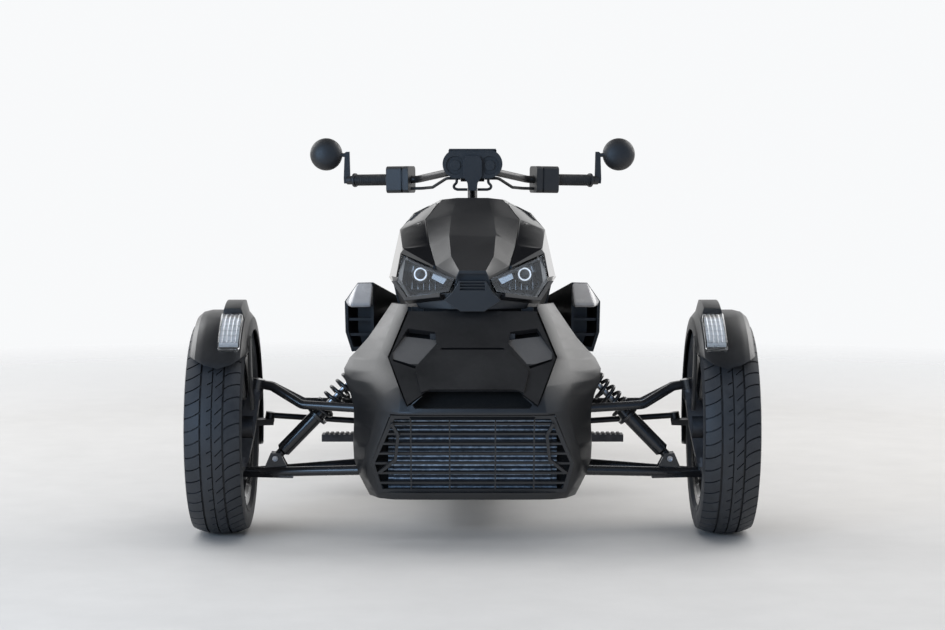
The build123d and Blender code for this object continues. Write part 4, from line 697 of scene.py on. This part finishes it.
treadPlan = {
    "pitches": {"tyre_front_left": 50, "tyre_front_right": 50, "tyre_rear": 54},   # sipes round each tyre
    "section": {"tyre_front_left": 0.087, "tyre_front_right": 0.087, "tyre_rear": 0.113},   # tread to bead
    "grooves": ((-0.43, -0.36), (-0.015, 0.03), (0.36, 0.43)),   # main grooves, as shares of the half width
    "tread": 0.88,             # share of the half width that is tread
    "crown": 0.012,            # how far the tread falls towards its edges
    "grooveDepth": 0.0065,
    "sipe": 0.11,              # share of a pitch
    "slant": 0.55,             # how far a sipe climbs, in pitches
    "perPitch": 3,             # rows of faces in a pitch
    "wall": [                  # sidewall, as shares of the half width and of the section
        (0.955, 0.17), (0.99, 0.27), (1.0, 0.42), (1.0, 0.5), (0.975, 0.64), (0.97, 0.67), (0.99, 0.7),
        (0.985, 0.74), (0.9, 0.84), (0.83, 0.88), (0.77, 0.93), (0.76, 1.0),
    ],
}


def treadRise(share, plan):
    # how far round a sipe has climbed at a share of the half width
    first, middle, last = plan["grooves"]
    if share < first[1]:
        return plan["slant"] * ((share + 1) / (1 + first[1])) ** 2
    if share < middle[1]:
        return 0.3 + 0.42 * (share - first[1]) / (middle[1] - first[1])
    if share < last[1]:
        return 0.1 + 0.8 * (share - middle[1]) / (last[1] - middle[1])
    return 0.2 + plan["slant"] * ((share - last[1]) / (1 - last[1])) ** 0.6


def tyreRing(plan, half, radius, section):
    # the closed cross-section as (across, radius) points, then the counts of wall and tread points
    first, middle, last = plan["grooves"]
    edge = plan["tread"]
    shares = [-edge, -0.78, -0.66, -0.54, *first, -0.27, -0.17, -0.1, *middle,
              0.12, 0.2, 0.28, *last, 0.54, 0.66, 0.78, edge]
    tread = [(share * half, radius - plan["crown"] * (abs(share) / edge) ** 2.5) for share in shares]
    flank = [(share * half, radius - drop * section) for share, drop in plan["wall"]]
    ring = [(-x, r) for x, r in reversed(flank)] + tread + flank
    return ring + ring[:1], len(flank), len(tread)


def makeTyre(node, plan):
    low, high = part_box(node)
    centre = (low + high) / 2
    half = (high.x - low.x) / 2
    ring, start, treadCount = tyreRing(plan, half, (high.z - low.z) / 2, plan["section"][node])
    columns = len(ring) - 1
    pitches, perPitch = plan["pitches"][node], plan["perPitch"]
    steps = (0, plan["sipe"], 0.5 + plan["sipe"] / 2)
    deselectAll()
    bpy.ops.mesh.primitive_grid_add(x_subdivisions=columns, y_subdivisions=pitches * perPitch, size=1)
    piece = nameAs("tread_" + node)
    for index, vertex in enumerate(piece.data.vertices):
        row, column = divmod(index, columns + 1)
        x, r = ring[column]
        climb = treadRise(max(-1, min(1, x / half)), plan) if column >= start else 0
        past = column - start - treadCount + 1
        if past > 0:
            climb *= max(0, 1 - past / start)
        turn = 2 * math.pi * (row // perPitch + steps[row % perPitch] - climb) / pitches
        vertex.co = centre + Vector((x, -r * math.sin(turn), r * math.cos(turn)))
    # columns of faces to press in, counted from the tread's first point
    sipeColumns = set(range(start - 1, start + 4)) | set(range(start + 15, start + 20))
    sipeColumns |= {start + 7, start + 8, start + 11, start + 12, start + 13}
    grooveColumns = {start + 4, start + 9, start + 14}
    for finish in ("tyre", "tyre"):        # the second slot marks the faces to press in
        piece.data.materials.append(finishes[finish])
    for face in piece.data.polygons:
        row, column = divmod(face.index, columns)
        sipe = column in sipeColumns and row % perPitch == 0
        face.material_index = 1 if sipe or column in grooveColumns else 0
    cleanMesh(piece, 0.00005)
    openMesh(piece)
    bpy.ops.mesh.select_all(action="DESELECT")
    piece.active_material_index = 1
    bpy.ops.object.material_slot_select()
    bpy.ops.mesh.extrude_region()
    closeMesh()
    for vertex in piece.data.vertices:
        if vertex.select:
            arm = Vector((0, vertex.co.y - centre.y, vertex.co.z - centre.z))
            vertex.co -= arm.normalized() * plan["grooveDepth"]
    for face in piece.data.polygons:
        face.material_index = 0
    cleanMesh(piece)
    smoothBy(piece, 30)
    return piece


for node in treadPlan["pitches"]:
    finishPiece(dress(makeTyre(node, treadPlan), "tyre"), bodyOf[node], (node,))
print("tyres done")


# brake discs: a turned ring with drilled holes

discPlan = {
    "inner": 0.0523, "edge": 0.001, "sides": 96,
    "holes": 10, "rows": 3, "holeRadius": 0.0042, "rim": 0.014, "rowGap": 0.016,
}


def makeDisc(node, plan):
    low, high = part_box(node)
    centre = (low + high) / 2
    thick = (high.x - low.x) / 2
    outer = (high.z - low.z) / 2
    inner, edge = plan["inner"], plan["edge"]
    profile = [(inner, -thick), (outer - edge, -thick), (outer, edge - thick), (outer, thick - edge),
               (outer - edge, thick), (inner, thick)]
    piece = spinProfile("turned_" + node, profile, plan["sides"], alongAxis(centre, (1, 0, 0)))
    through = Vector((0.02, 0, 0))
    drills = []
    for hole in range(plan["holes"]):
        for row in range(plan["rows"]):
            turn = 2 * math.pi * (hole + row / plan["rows"]) / plan["holes"]
            reach = outer - plan["rim"] - row * plan["rowGap"]
            spot = centre + Vector((0, reach * math.cos(turn), reach * math.sin(turn)))
            drills.append(bar("drill", spot - through, spot + through, plan["holeRadius"], 10))
    cutAway(piece, joinPieces("drills", drills))
    smoothBy(piece, 30)
    return piece


for place in axleOf:
    node = "disc_" + place
    finishPiece(dress(makeDisc(node, discPlan), node), bodyOf[node], (node,))
print("discs done")


# shocks: damper body, shaft, collars and a wound coil

shockPlan = {                # radii, then the coil's start as a share and its end from the upper eye
    "front_shocks": {
        "eye": 0.015, "body": 0.020, "coil": 0.027, "wire": 0.0052, "turns": 7, "from": 0.44, "to": 0.042,
    },
    "rear_shock": {
        "eye": 0.014, "body": 0.017, "coil": 0.0245, "wire": 0.005, "turns": 5, "from": 0.44, "to": 0.042,
    },
}
eyeHalf = 0.0135             # half the width of a shock's eye


def makeCoil(name, radius, wire, length, turns):
    deselectAll()
    upright = (math.pi / 2, 0, 0)
    bpy.ops.mesh.primitive_circle_add(vertices=10, radius=wire, fill_type="NOTHING", rotation=upright)
    settle()
    piece = nameAs(name)
    piece.data.transform(Matrix.Translation((radius, 0, 0)))
    wind = piece.modifiers.new("wind", "SCREW")
    wind.axis = "Z"
    wind.steps = 22
    wind.render_steps = 22
    wind.iterations = turns
    wind.screw_offset = (length - 2 * wire) / turns
    applyAll(piece)
    piece.data.transform(Matrix.Translation((0, 0, wire)))
    openMesh(piece, "EDGE")
    bpy.ops.mesh.select_all(action="DESELECT")
    bpy.ops.mesh.select_non_manifold()
    bpy.ops.mesh.edge_face_add()
    bpy.ops.mesh.select_all(action="SELECT")
    bpy.ops.mesh.normals_make_consistent(inside=False)
    closeMesh()
    return piece


def makeShock(name, low, high, eyeAxis, plan):
    run = Vector(high) - Vector(low)
    length = run.length
    place = alongAxis(low, run)
    coilFrom, coilTo = plan["from"] * length, length - plan["to"]
    body, coil = plan["body"], plan["coil"]
    seat, cap = coil + 0.004, length - 0.008
    damper = [(0, 0.008), (0.6 * body, 0.008), (0.6 * body, 0.024), (body, 0.03), (body, coilFrom - 0.012),
              (body + 0.003, coilFrom - 0.011), (seat, coilFrom - 0.009), (seat + 0.001, coilFrom - 0.001),
              (coil - 0.006, coilFrom), (body - 0.004, coilFrom + 0.03), (0, coilFrom + 0.03)]
    shaft = [(0, coilFrom), (0.4 * body, coilFrom), (0.4 * body, coilTo - 0.02),
             (0.62 * body, coilTo - 0.018), (0.62 * body, coilTo), (seat, coilTo), (seat, coilTo + 0.006),
             (0.6 * body, coilTo + 0.009), (0.55 * body, cap), (0, cap)]
    parts = [spinProfile("damper", damper, 32, place, closed=False)]
    parts.append(spinProfile("shaft", shaft, 32, place, closed=False))
    spring = makeCoil("coil", coil, plan["wire"], coilTo - coilFrom, plan["turns"])
    spring.data.transform(place @ Matrix.Translation((0, 0, coilFrom)))
    eye, flat = plan["eye"], eyeHalf - 0.0025
    ring = [(0.005, -eyeHalf), (eye - 0.002, -eyeHalf), (eye, -flat), (eye, flat), (eye - 0.002, eyeHalf),
            (0.005, eyeHalf)]
    for end in (low, high):
        parts.append(spinProfile("eye", ring, 24, alongAxis(end, eyeAxis)))
    for part in parts:
        part.data.materials.append(finishes["arm"])
    parts[1].data.materials[0] = finishes["steel"]
    spring.data.materials.append(finishes["arm"])
    piece = joinPieces(name, parts + [spring])
    smoothBy(piece, 40)
    return piece


def shockEnds(node, plan, side):
    # the middles of the lower and the upper eye, from the reach of the solid's points on that side
    points = [vertex.co for vertex in frame["nodes"][node].data.vertices]
    points = [point for point in points if side == 0 or point.x * side > 0]
    low = [min(point[axis] for point in points) for axis in range(3)]
    high = [max(point[axis] for point in points) for axis in range(3)]
    middle = [(a + b) / 2 for a, b in zip(low, high)]
    eye = plan["eye"]
    foot, top = low[2] + eye, high[2] - eye
    if side:
        near, far = sorted((abs(low[0]), abs(high[0])))
        return (side * (far - eye), middle[1], foot), (side * (near + eye), middle[1], top)
    return (middle[0], high[1] - eye, foot), (middle[0], low[1] + eye, top)


plan = shockPlan["front_shocks"]
sides = [makeShock("shock", *shockEnds("front_shocks", plan, side), (0, 1, 0), plan) for side in (-1, 1)]
finishPiece(joinPieces("coil_shocks_front", sides), "chassis", ("front_shocks",))
plan = shockPlan["rear_shock"]
rearShock = makeShock("coil_shock_rear", *shockEnds("rear_shock", plan, 0), (1, 0, 0), plan)
finishPiece(rearShock, "chassis", ("rear_shock",))
print("shocks done")


# seat: the solid's form remeshed and blown up as foam under a cover

seatPlan = {"shrink": 0.975, "voxel": 0.008, "pressure": 3.0, "frames": 16, "most": 0.010}


def makeSeat(plan):
    piece = copyNode("padded_seat", "seat")
    cleanMesh(piece)
    middle = sum((vertex.co for vertex in piece.data.vertices), Vector()) / len(piece.data.vertices)
    for vertex in piece.data.vertices:
        vertex.co = middle + plan["shrink"] * (vertex.co - middle)
    piece.data.remesh_voxel_size = plan["voxel"]
    makeActive(piece)
    bpy.ops.object.voxel_remesh()
    smooth = piece.modifiers.new("soften", "SMOOTH")
    smooth.iterations = 8
    applyAll(piece)
    rest = [vertex.co.copy() for vertex in piece.data.vertices]
    cloth = piece.modifiers.new("foam", "CLOTH")
    cloth.settings.use_pressure = True
    cloth.settings.uniform_pressure_force = plan["pressure"]
    cloth.settings.effector_weights.gravity = 0
    scene = bpy.context.scene
    for step in range(1, plan["frames"] + 1):
        scene.frame_set(step)
    applyAll(piece)
    scene.frame_set(1)
    for vertex, spot in zip(piece.data.vertices, rest):
        move = vertex.co - spot
        if move.length > plan["most"]:
            vertex.co = spot + move.normalized() * plan["most"]
    soft = piece.modifiers.new("soft", "SUBSURF")
    soft.levels = 1
    soft.render_levels = 1
    applyAll(piece)
    smoothBy(piece, 60)
    return piece


seatPiece = finishPiece(dress(makeSeat(seatPlan), "seat"), "chassis", ("seat",))
print("seat done")


# headlamps: behind each lens a dark bowl, a light ring round a projector, bright wedges and ribs

lampPlan = {
    "tip": (0.045, -0.916, 0.699),         # inner end of the lens
    "normal": (0.528, -0.728, 0.436),      # way the lens faces
    "bowl": [
        (0.062, 0.690), (0.074, 0.667), (0.173, 0.650), (0.198, 0.684), (0.188, 0.739), (0.106, 0.706),
    ],
    "bowlDepth": 0.046, "bowlSheet": 0.002,
    "wedges": [
        [(0.066, 0.693), (0.105, 0.705), (0.110, 0.690), (0.078, 0.676)],
        [(0.156, 0.729), (0.186, 0.739), (0.193, 0.707), (0.163, 0.704)],
    ],
    "wedgeDepths": (0.016, 0.034), "wedgeSheet": 0.0015,
    "ring": (0.1415, 0.7000), "ringDepth": 0.022, "ringRadius": 0.0162, "ringWire": 0.0021, "ringTilt": 0.12,
    "projector": [
        (0, 0.004), (0.006, 0.0034), (0.011, 0.001), (0.0145, -0.004), (0.0155, -0.016), (0, -0.016),
    ],
    "shroud": [(0.0225, 0.0), (0.024, -0.002), (0.024, -0.022), (0.0165, -0.022), (0.0165, -0.004)],
    "ribs": (0.100, 0.116, 0.132, 0.148, 0.164, 0.180), "ribRadius": 0.0014,
    "ribFoot": 0.658, "footDepth": 0.030, "ribTop": 0.690, "topDepth": 0.042,
}


def onLamp(plan, side, spot, depth):
    # a front-view point carried to a plane at a depth behind the lens
    normal = Vector(plan["normal"]).normalized()
    foot = Vector(plan["tip"]) - normal * depth
    rise = normal.x * (spot[0] - foot.x) + normal.z * (spot[1] - foot.z)
    return Vector((side * spot[0], foot.y - rise / normal.y, spot[1]))


def makeLamp(side, plan):
    bowl = [onLamp(plan, side, spot, plan["bowlDepth"]) for spot in plan["bowl"]]
    parts = [dress(plate("bowl", bowl, plan["bowlSheet"]), "bowl")]
    for wedge, depth in zip(plan["wedges"], plan["wedgeDepths"]):
        corners = [onLamp(plan, side, spot, depth) for spot in wedge]
        parts.append(dress(plate("wedge", corners, plan["wedgeSheet"]), "reflector"))
    centre = onLamp(plan, side, plan["ring"], plan["ringDepth"])
    facing = alongAxis(centre, (plan["ringTilt"] * side, -1, plan["ringTilt"]))
    reach, wire = plan["ringRadius"], plan["ringWire"]
    turns = [2 * math.pi * step / 10 for step in range(10)]
    guide = [(reach + wire * math.cos(turn), wire * math.sin(turn)) for turn in turns]
    parts.append(dress(spinProfile("ring", guide, 40, facing), "ring"))
    parts.append(dress(spinProfile("projector", plan["projector"], 32, facing, closed=False), "screen"))
    parts.append(dress(spinProfile("shroud", plan["shroud"], 32, facing), "blackSteel"))
    for x in plan["ribs"]:
        foot = onLamp(plan, side, (x, plan["ribFoot"]), plan["footDepth"])
        top = onLamp(plan, side, (x, plan["ribTop"]), plan["topDepth"])
        parts.append(dress(bar("rib", foot, top, plan["ribRadius"], 8), "reflector"))
    for part in parts:
        smoothBy(part, 35)
    return parts


lampParts = [part for side in (-1, 1) for part in makeLamp(side, lampPlan)]
finishPiece(joinPieces("headlamp_insides", lampParts), "chassis")
print("headlamps done")


# nose liner: a tray under the hood and wings beside the radiator, seen through the openings, in a near black
# that is painted shade for the deep recess

linerPlan = {
    "hoodLow": (-1.129, 0.400), "hoodHigh": (-0.906, 0.605), "depth": 0.040,
    "tray": [(0.160, 0.365), (0.250, 0.490), (0.195, 0.620)],
    "wing": [(0.218, 0.140), (0.262, 0.140), (0.284, 0.215), (0.236, 0.352), (0.218, 0.352)],
    "wingPlace": -1.038, "sheet": 0.002,
}


def makeLiner(plan):
    (lowY, lowZ), (highY, highZ) = plan["hoodLow"], plan["hoodHigh"]
    slope = Vector((0, highY - lowY, highZ - lowZ)).normalized()
    inward = Vector((0, slope.z, -slope.y)) * plan["depth"]
    half = [Vector((x, lowY + (z - lowZ) * slope.y / slope.z, z)) + inward for x, z in plan["tray"]]
    other = [Vector((-spot.x, spot.y, spot.z)) for spot in reversed(half)]
    parts = [plate("tray", half + other, plan["sheet"])]
    for side in (-1, 1):
        corners = [(side * x, plan["wingPlace"], z) for x, z in plan["wing"]]
        parts.append(plate("wing", corners, plan["sheet"]))
    return joinPieces("nose_liner_shade", [dress(part, "paintedShade") for part in parts])


finishPiece(makeLiner(linerPlan), "chassis")
print("nose liner done")


# turn lamps: a ribbed clear cover over a bright plate

turnLampPlan = {             # degrees up from straight ahead of the axle, metres across from its middle
    "crown": 0.313, "from": 45.4, "to": 71.4, "inner": -0.0675, "outer": -0.0115,
    "foot": 0.0056, "rise": 0.0205, "ribs": 5, "rib": 0.0022, "wall": 0.002,
}


def onFender(plan, side, across, angle, rise):
    centre = axleOf["front_left" if side > 0 else "front_right"]
    reach = plan["crown"] + rise
    turn = math.radians(angle)
    x = centre.x + side * (plan["inner"] + across * (plan["outer"] - plan["inner"]))
    return Vector((x, centre.y - reach * math.cos(turn), centre.z + reach * math.sin(turn)))


def makeTurnLamp(side, plan):
    span = plan["to"] - plan["from"]

    def coverPoint(across, along):
        border = min(across, 1 - across, along, 1 - along) < 0.001
        wave = plan["rib"] * abs(math.sin(math.pi * plan["ribs"] * across))
        rise = plan["foot"] + 0.001 if border else plan["rise"] + wave
        return onFender(plan, side, across, plan["from"] + along * span, rise)

    def backPoint(across, along):
        sheet = plan["foot"] + 0.003 + 0.003 * abs(math.sin(6 * math.pi * along))
        return onFender(plan, side, 0.06 + 0.88 * across, plan["from"] + 1.2 + along * (span - 2.4), sheet)

    cover = wrapGrid("cover", 40, 14, plan["wall"], coverPoint)
    back = wrapGrid("back", 6, 24, 0.001, backPoint)
    return cover, back


for side, name in ((1, "left"), (-1, "right")):
    cover, back = makeTurnLamp(side, turnLampPlan)
    cover.name = "turn_cover_" + name
    back.name = "turn_back_" + name
    finishPiece(dress(cover, "ribLens"), "knuckle_" + name, ("turn_lamp_" + name,))
    finishPiece(dress(back, "lampPlate"), "knuckle_" + name)
print("turn lamps done")


# bar fittings: ribbed grips, mirror glasses, a screen and two small lenses on the dash

barPlan = {
    "knee": (0.165, -0.221, 0.957), "end": (0.363, -0.1445, 0.954), "gripFrom": 0.099, "gripTo": 0.199,
    "gripRadius": 0.0161, "gripBore": 0.012, "ribs": 17, "rib": 0.0011,
    "mirror": (0.443, -0.13, 1.032), "mirrorRadius": 0.045,
    "screen": (0.058, 0.991, 1.034), "screenPlace": -0.3655,
    "pod": (0.050, 0.999), "podPlace": -0.4235, "podRadius": 0.0135,
}


def makeGrip(side, plan):
    knee, end = Vector(plan["knee"]), Vector(plan["end"])
    knee.x *= side
    end.x *= side
    pitch = (plan["gripTo"] - plan["gripFrom"]) / plan["ribs"]
    ring = [(plan["gripBore"], plan["gripFrom"])]
    for rib in range(plan["ribs"]):
        start = plan["gripFrom"] + rib * pitch
        for share, rise in ((0, 0), (0.2, 1), (0.65, 1), (0.85, 0)):
            ring.append((plan["gripRadius"] + rise * plan["rib"], start + share * pitch))
    ring.append((plan["gripBore"], plan["gripTo"]))
    return dress(spinProfile("grip", ring, 32, alongAxis(knee, end - knee)), "grip")


def makeBarFittings(plan):
    parts = []
    for side in (-1, 1):
        parts.append(makeGrip(side, plan))
        x, y, z = plan["mirror"]
        wide = plan["mirrorRadius"]
        glass = [(0, 0.0012), (wide - 0.001, 0.0012), (wide, 0.0006), (wide, -0.0004), (0, -0.0004)]
        back = alongAxis((side * x, y, z), (0, 1, 0))
        parts.append(dress(spinProfile("glass", glass, 48, back, closed=False), "mirror"))
        x, z = plan["pod"]
        wide = plan["podRadius"]
        lens = [(0, 0.004), (0.5 * wide, 0.0034), (0.85 * wide, 0.0018), (wide, -0.001), (0, -0.001)]
        front = alongAxis((side * x, plan["podPlace"], z), (0, -1, 0))
        parts.append(dress(spinProfile("pod", lens, 32, front, closed=False), "screen"))
    half, foot, top = plan["screen"]
    y = plan["screenPlace"]
    corners = [Vector((x, y, z)) for x, z in ((-half, foot), (half, foot), (half, top), (-half, top))]
    parts.append(dress(plate("screen", corners, 0.0016), "screen"))
    for part in parts:
        smoothBy(part, 35)
    return joinPieces("bar_fittings", parts)


finishPiece(makeBarFittings(barPlan), "steering")
print("bar fittings done")


# bolts: one socket head, set wherever a fastener shows

boltPlan = {
    "head": [                  # half section, in bolt radii
        (0, 0.35), (0.5, 0.35), (0.52, 0.95), (0.6, 1.0), (0.9, 1.0), (1.0, 0.88), (1.0, -0.1), (0, -0.1),
    ],
    "driveMiddle": (-0.046, 0.300), "driveFace": 0.1923, "driveReach": (0.147, 0.079), "driveEnd": 0.226,
    "driveSize": 0.006,
    "pivots": ((0.205, 0.185), (0.225, 0.345)), "pivotReach": 0.1306, "pivotSize": 0.010,
    "eyes": ((0.536, 0.204), (0.272, 0.475)), "eyeReach": 0.0213, "eyeSize": 0.008,
    "discBolts": 5, "discReach": 0.066, "discSize": 0.006,
}


def findBolts(plan):
    # (place, axis, radius) of each bolt, by the body that carries it
    chassis = []
    y, z = plan["driveMiddle"]
    along, up = plan["driveReach"]
    ring = [(step * along, rise) for rise in (up, -up) for step in (-1, 0, 1)]
    ring += [(-plan["driveEnd"], 0), (plan["driveEnd"], 0)]
    for reach, rise in ring:
        chassis.append(((plan["driveFace"], y + reach, z + rise), (1, 0, 0), plan["driveSize"]))
    front = axleOf["front_left"].y
    for side in (-1, 1):
        for kind in ("pivot", "eye"):
            reach, size = plan[kind + "Reach"], plan[kind + "Size"]
            for x, z in plan[kind + "s"]:
                for way in (-1, 1):
                    chassis.append(((side * x, front + way * reach, z), (0, way, 0), size))
    spots = {"chassis": chassis}
    for name, axle in axleOf.items():
        low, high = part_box("disc_" + name)
        outward = -1 if name == "front_left" else 1
        face = low.x if outward < 0 else high.x
        spots["wheel_" + name] = []
        for step in range(plan["discBolts"]):
            turn = 2 * math.pi * step / plan["discBolts"]
            arm = plan["discReach"] * Vector((0, math.cos(turn), math.sin(turn)))
            place = (face, axle.y + arm.y, axle.z + arm.z)
            spots["wheel_" + name].append((place, (outward, 0, 0), plan["discSize"]))
    return spots


def makeBolts(body, spots, plan):
    parts = []
    for place, axis, size in spots:
        head = [(size * radius, 0.7 * size * height) for radius, height in plan["head"]]
        parts.append(dress(spinProfile("bolt", head, 12, alongAxis(place, axis), closed=False), "steel"))
    piece = joinPieces("bolts_" + body, parts)
    smoothBy(piece, 35)
    return piece


for body, spots in findBolts(boltPlan).items():
    finishPiece(makeBolts(body, spots, boltPlan), body)
print("bolts done")


# foot rests: rubber ribs on both pegs

pegPlan = {
    "from": 0.334, "to": 0.458, "ribs": 8, "middle": -0.086, "half": 0.026, "top": 0.176, "rise": 0.0035,
}


def makePegRibs(plan):
    parts = []
    pitch = (plan["to"] - plan["from"]) / plan["ribs"]
    for side in (-1, 1):
        for rib in range(plan["ribs"]):
            start = plan["from"] + rib * pitch
            ends = sorted((side * start, side * (start + 0.6 * pitch)))
            low = (ends[0], plan["middle"] - plan["half"], plan["top"] - 0.001)
            high = (ends[1], plan["middle"] + plan["half"], plan["top"] + plan["rise"])
            piece = slab("rib", low, high)
            roundEdges(piece, 0.0012)
            parts.append(dress(piece, "grip"))
    return joinPieces("peg_ribs", parts)


finishPiece(makePegRibs(pegPlan), "chassis")
print("foot rests done")


# stage, lights and camera

stagePlan = {"floor": 60.0, "near": (0.60, 0.59, 0.575), "far": (0.80, 0.80, 0.80), "fade": (2.6, 6.0)}
worldPlan = {
    "shown": (0.94, 0.95, 0.96), "diffuse": (0.62, 0.63, 0.65),
    "front": (0.19, 0.29, 0.45), "back": (0.95, 0.95, 0.95), "above": (0.025, 0.027, 0.033),
    "frontToBack": (-0.7, 0.2), "wallToAbove": (0.35, 0.8), "aboveToSide": (0.3, 0.65),
}
lightPlan = {
    "ceiling": {
        "place": (0, -0.3, 4.2), "aim": (0, -0.3, 0), "size": (3.6, 6.0), "power": 75,
        "tone": (1.0, 0.98, 0.95), "mirrored": False,
    },
    "door": {
        "place": (-3.6, -5.4, 1.5), "aim": (0, 0, 0.5), "size": (3.0, 2.6), "power": 130,
        "tone": (0.46, 0.69, 1.0), "mirrored": True,
    },
}
for name, side, tone in (("left", 1, (1.0, 0.99, 0.98)), ("right", -1, (0.98, 0.99, 1.0))):
    lightPlan[name] = {
        "place": (side * 3.6, 1.6, 3.2), "aim": (0, -0.6, 0.5), "size": (3.6, 3.6), "power": 115,
        "tone": tone, "mirrored": True,
    }
cameraPlan = {"place": (0, -7.086, 1.0), "pitch": 86.25, "lens": 87.2}


def makeFloor(plan):
    # pale concrete that fades out into the white round it
    deselectAll()
    bpy.ops.mesh.primitive_plane_add(size=plan["floor"])
    floor = nameAs("studioFloor")
    finish, tree, shader = startFinish("studioFloor", Roughness=0.6)
    place = addNode(tree, "ShaderNodeTexCoord").outputs["Object"]
    span = addNode(tree, "ShaderNodeVectorMath", operation="LENGTH")
    tree.links.new(place, span.inputs[0])
    near, far = plan["fade"]
    mask = addRange(tree, span.outputs["Value"], near, far, 0, 1)
    grain = addRange(tree, addNoise(tree, place, 6.0, 8.0, 0.6), 0.3, 0.7, 0, 1)
    base = mixColours(tree, grain, plan["near"], tuple(0.94 * part for part in plan["near"]))
    setBase(tree, shader, mask, base, plan["far"])
    fade = addNode(tree, "ShaderNodeMixShader")
    tree.links.new(mask, fade.inputs[0])
    tree.links.new(shader.outputs[0], fade.inputs[1])
    tree.links.new(addNode(tree, "ShaderNodeBsdfTransparent").outputs[0], fade.inputs[2])
    tree.links.new(fade.outputs[0], tree.nodes["Material Output"].inputs["Surface"])
    floor.data.materials.append(finish)


def makeLight(name, plan):
    lamp = bpy.data.lights.new(name, "AREA")
    lamp.shape = "RECTANGLE"
    lamp.size, lamp.size_y = plan["size"]
    lamp.energy = plan["power"]
    lamp.color = plan["tone"]
    holder = bpy.data.objects.new(name, lamp)
    bpy.context.scene.collection.objects.link(holder)
    holder.visible_glossy = plan["mirrored"]
    holder.location = plan["place"]
    aim = Vector(plan["aim"]) - Vector(plan["place"])
    holder.rotation_euler = aim.to_track_quat("-Z", "Y").to_euler()


def makeWorld(plan):
    # a white room, darker overhead and on the camera's side in what the object mirrors
    world = bpy.data.worlds.new("studioWorld")
    bpy.context.scene.world = world
    world.use_nodes = True
    tree = world.node_tree
    way = addNode(tree, "ShaderNodeSeparateXYZ")
    tree.links.new(addNode(tree, "ShaderNodeTexCoord").outputs["Generated"], way.inputs[0])
    depth = addRange(tree, way.outputs["Y"], *plan["frontToBack"], 0, 1)
    height = addRange(tree, way.outputs["Z"], *plan["wallToAbove"], 0, 1)
    middle = addRange(tree, addMath(tree, "ABSOLUTE", way.outputs["X"]), *plan["aboveToSide"], 1, 0)
    walls = mixColours(tree, depth, plan["front"], plan["back"])
    mirrored = mixColours(tree, addMath(tree, "MULTIPLY", height, middle), walls, plan["above"])
    path = addNode(tree, "ShaderNodeLightPath")
    seen = addMath(tree, "ADD", path.outputs["Is Camera Ray"], path.outputs["Is Transmission Ray"])
    plain = mixColours(tree, addMath(tree, "MINIMUM", seen, 1.0), plan["diffuse"], plan["shown"])
    glossy = addMath(tree, "SUBTRACT", path.outputs["Is Glossy Ray"], path.outputs["Is Transmission Ray"])
    room = mixColours(tree, addMath(tree, "MAXIMUM", glossy, 0.0), plain, mirrored)
    tree.links.new(room, tree.nodes["Background"].inputs["Color"])


def makeCamera(plan):
    lens = bpy.data.cameras.new("photoCamera")
    lens.lens = plan["lens"]
    lens.sensor_width = 36.0
    lens.clip_end = 100
    holder = bpy.data.objects.new("photoCamera", lens)
    bpy.context.scene.collection.objects.link(holder)
    holder.location = plan["place"]
    holder.rotation_euler = (math.radians(plan["pitch"]), 0, 0)
    bpy.context.scene.camera = holder


makeFloor(stagePlan)
for name, light in lightPlan.items():
    makeLight(name, light)
makeWorld(worldPlan)
makeCamera(cameraPlan)
bpy.context.scene.view_settings.view_transform = "Standard"
print("stage, lights and camera set")
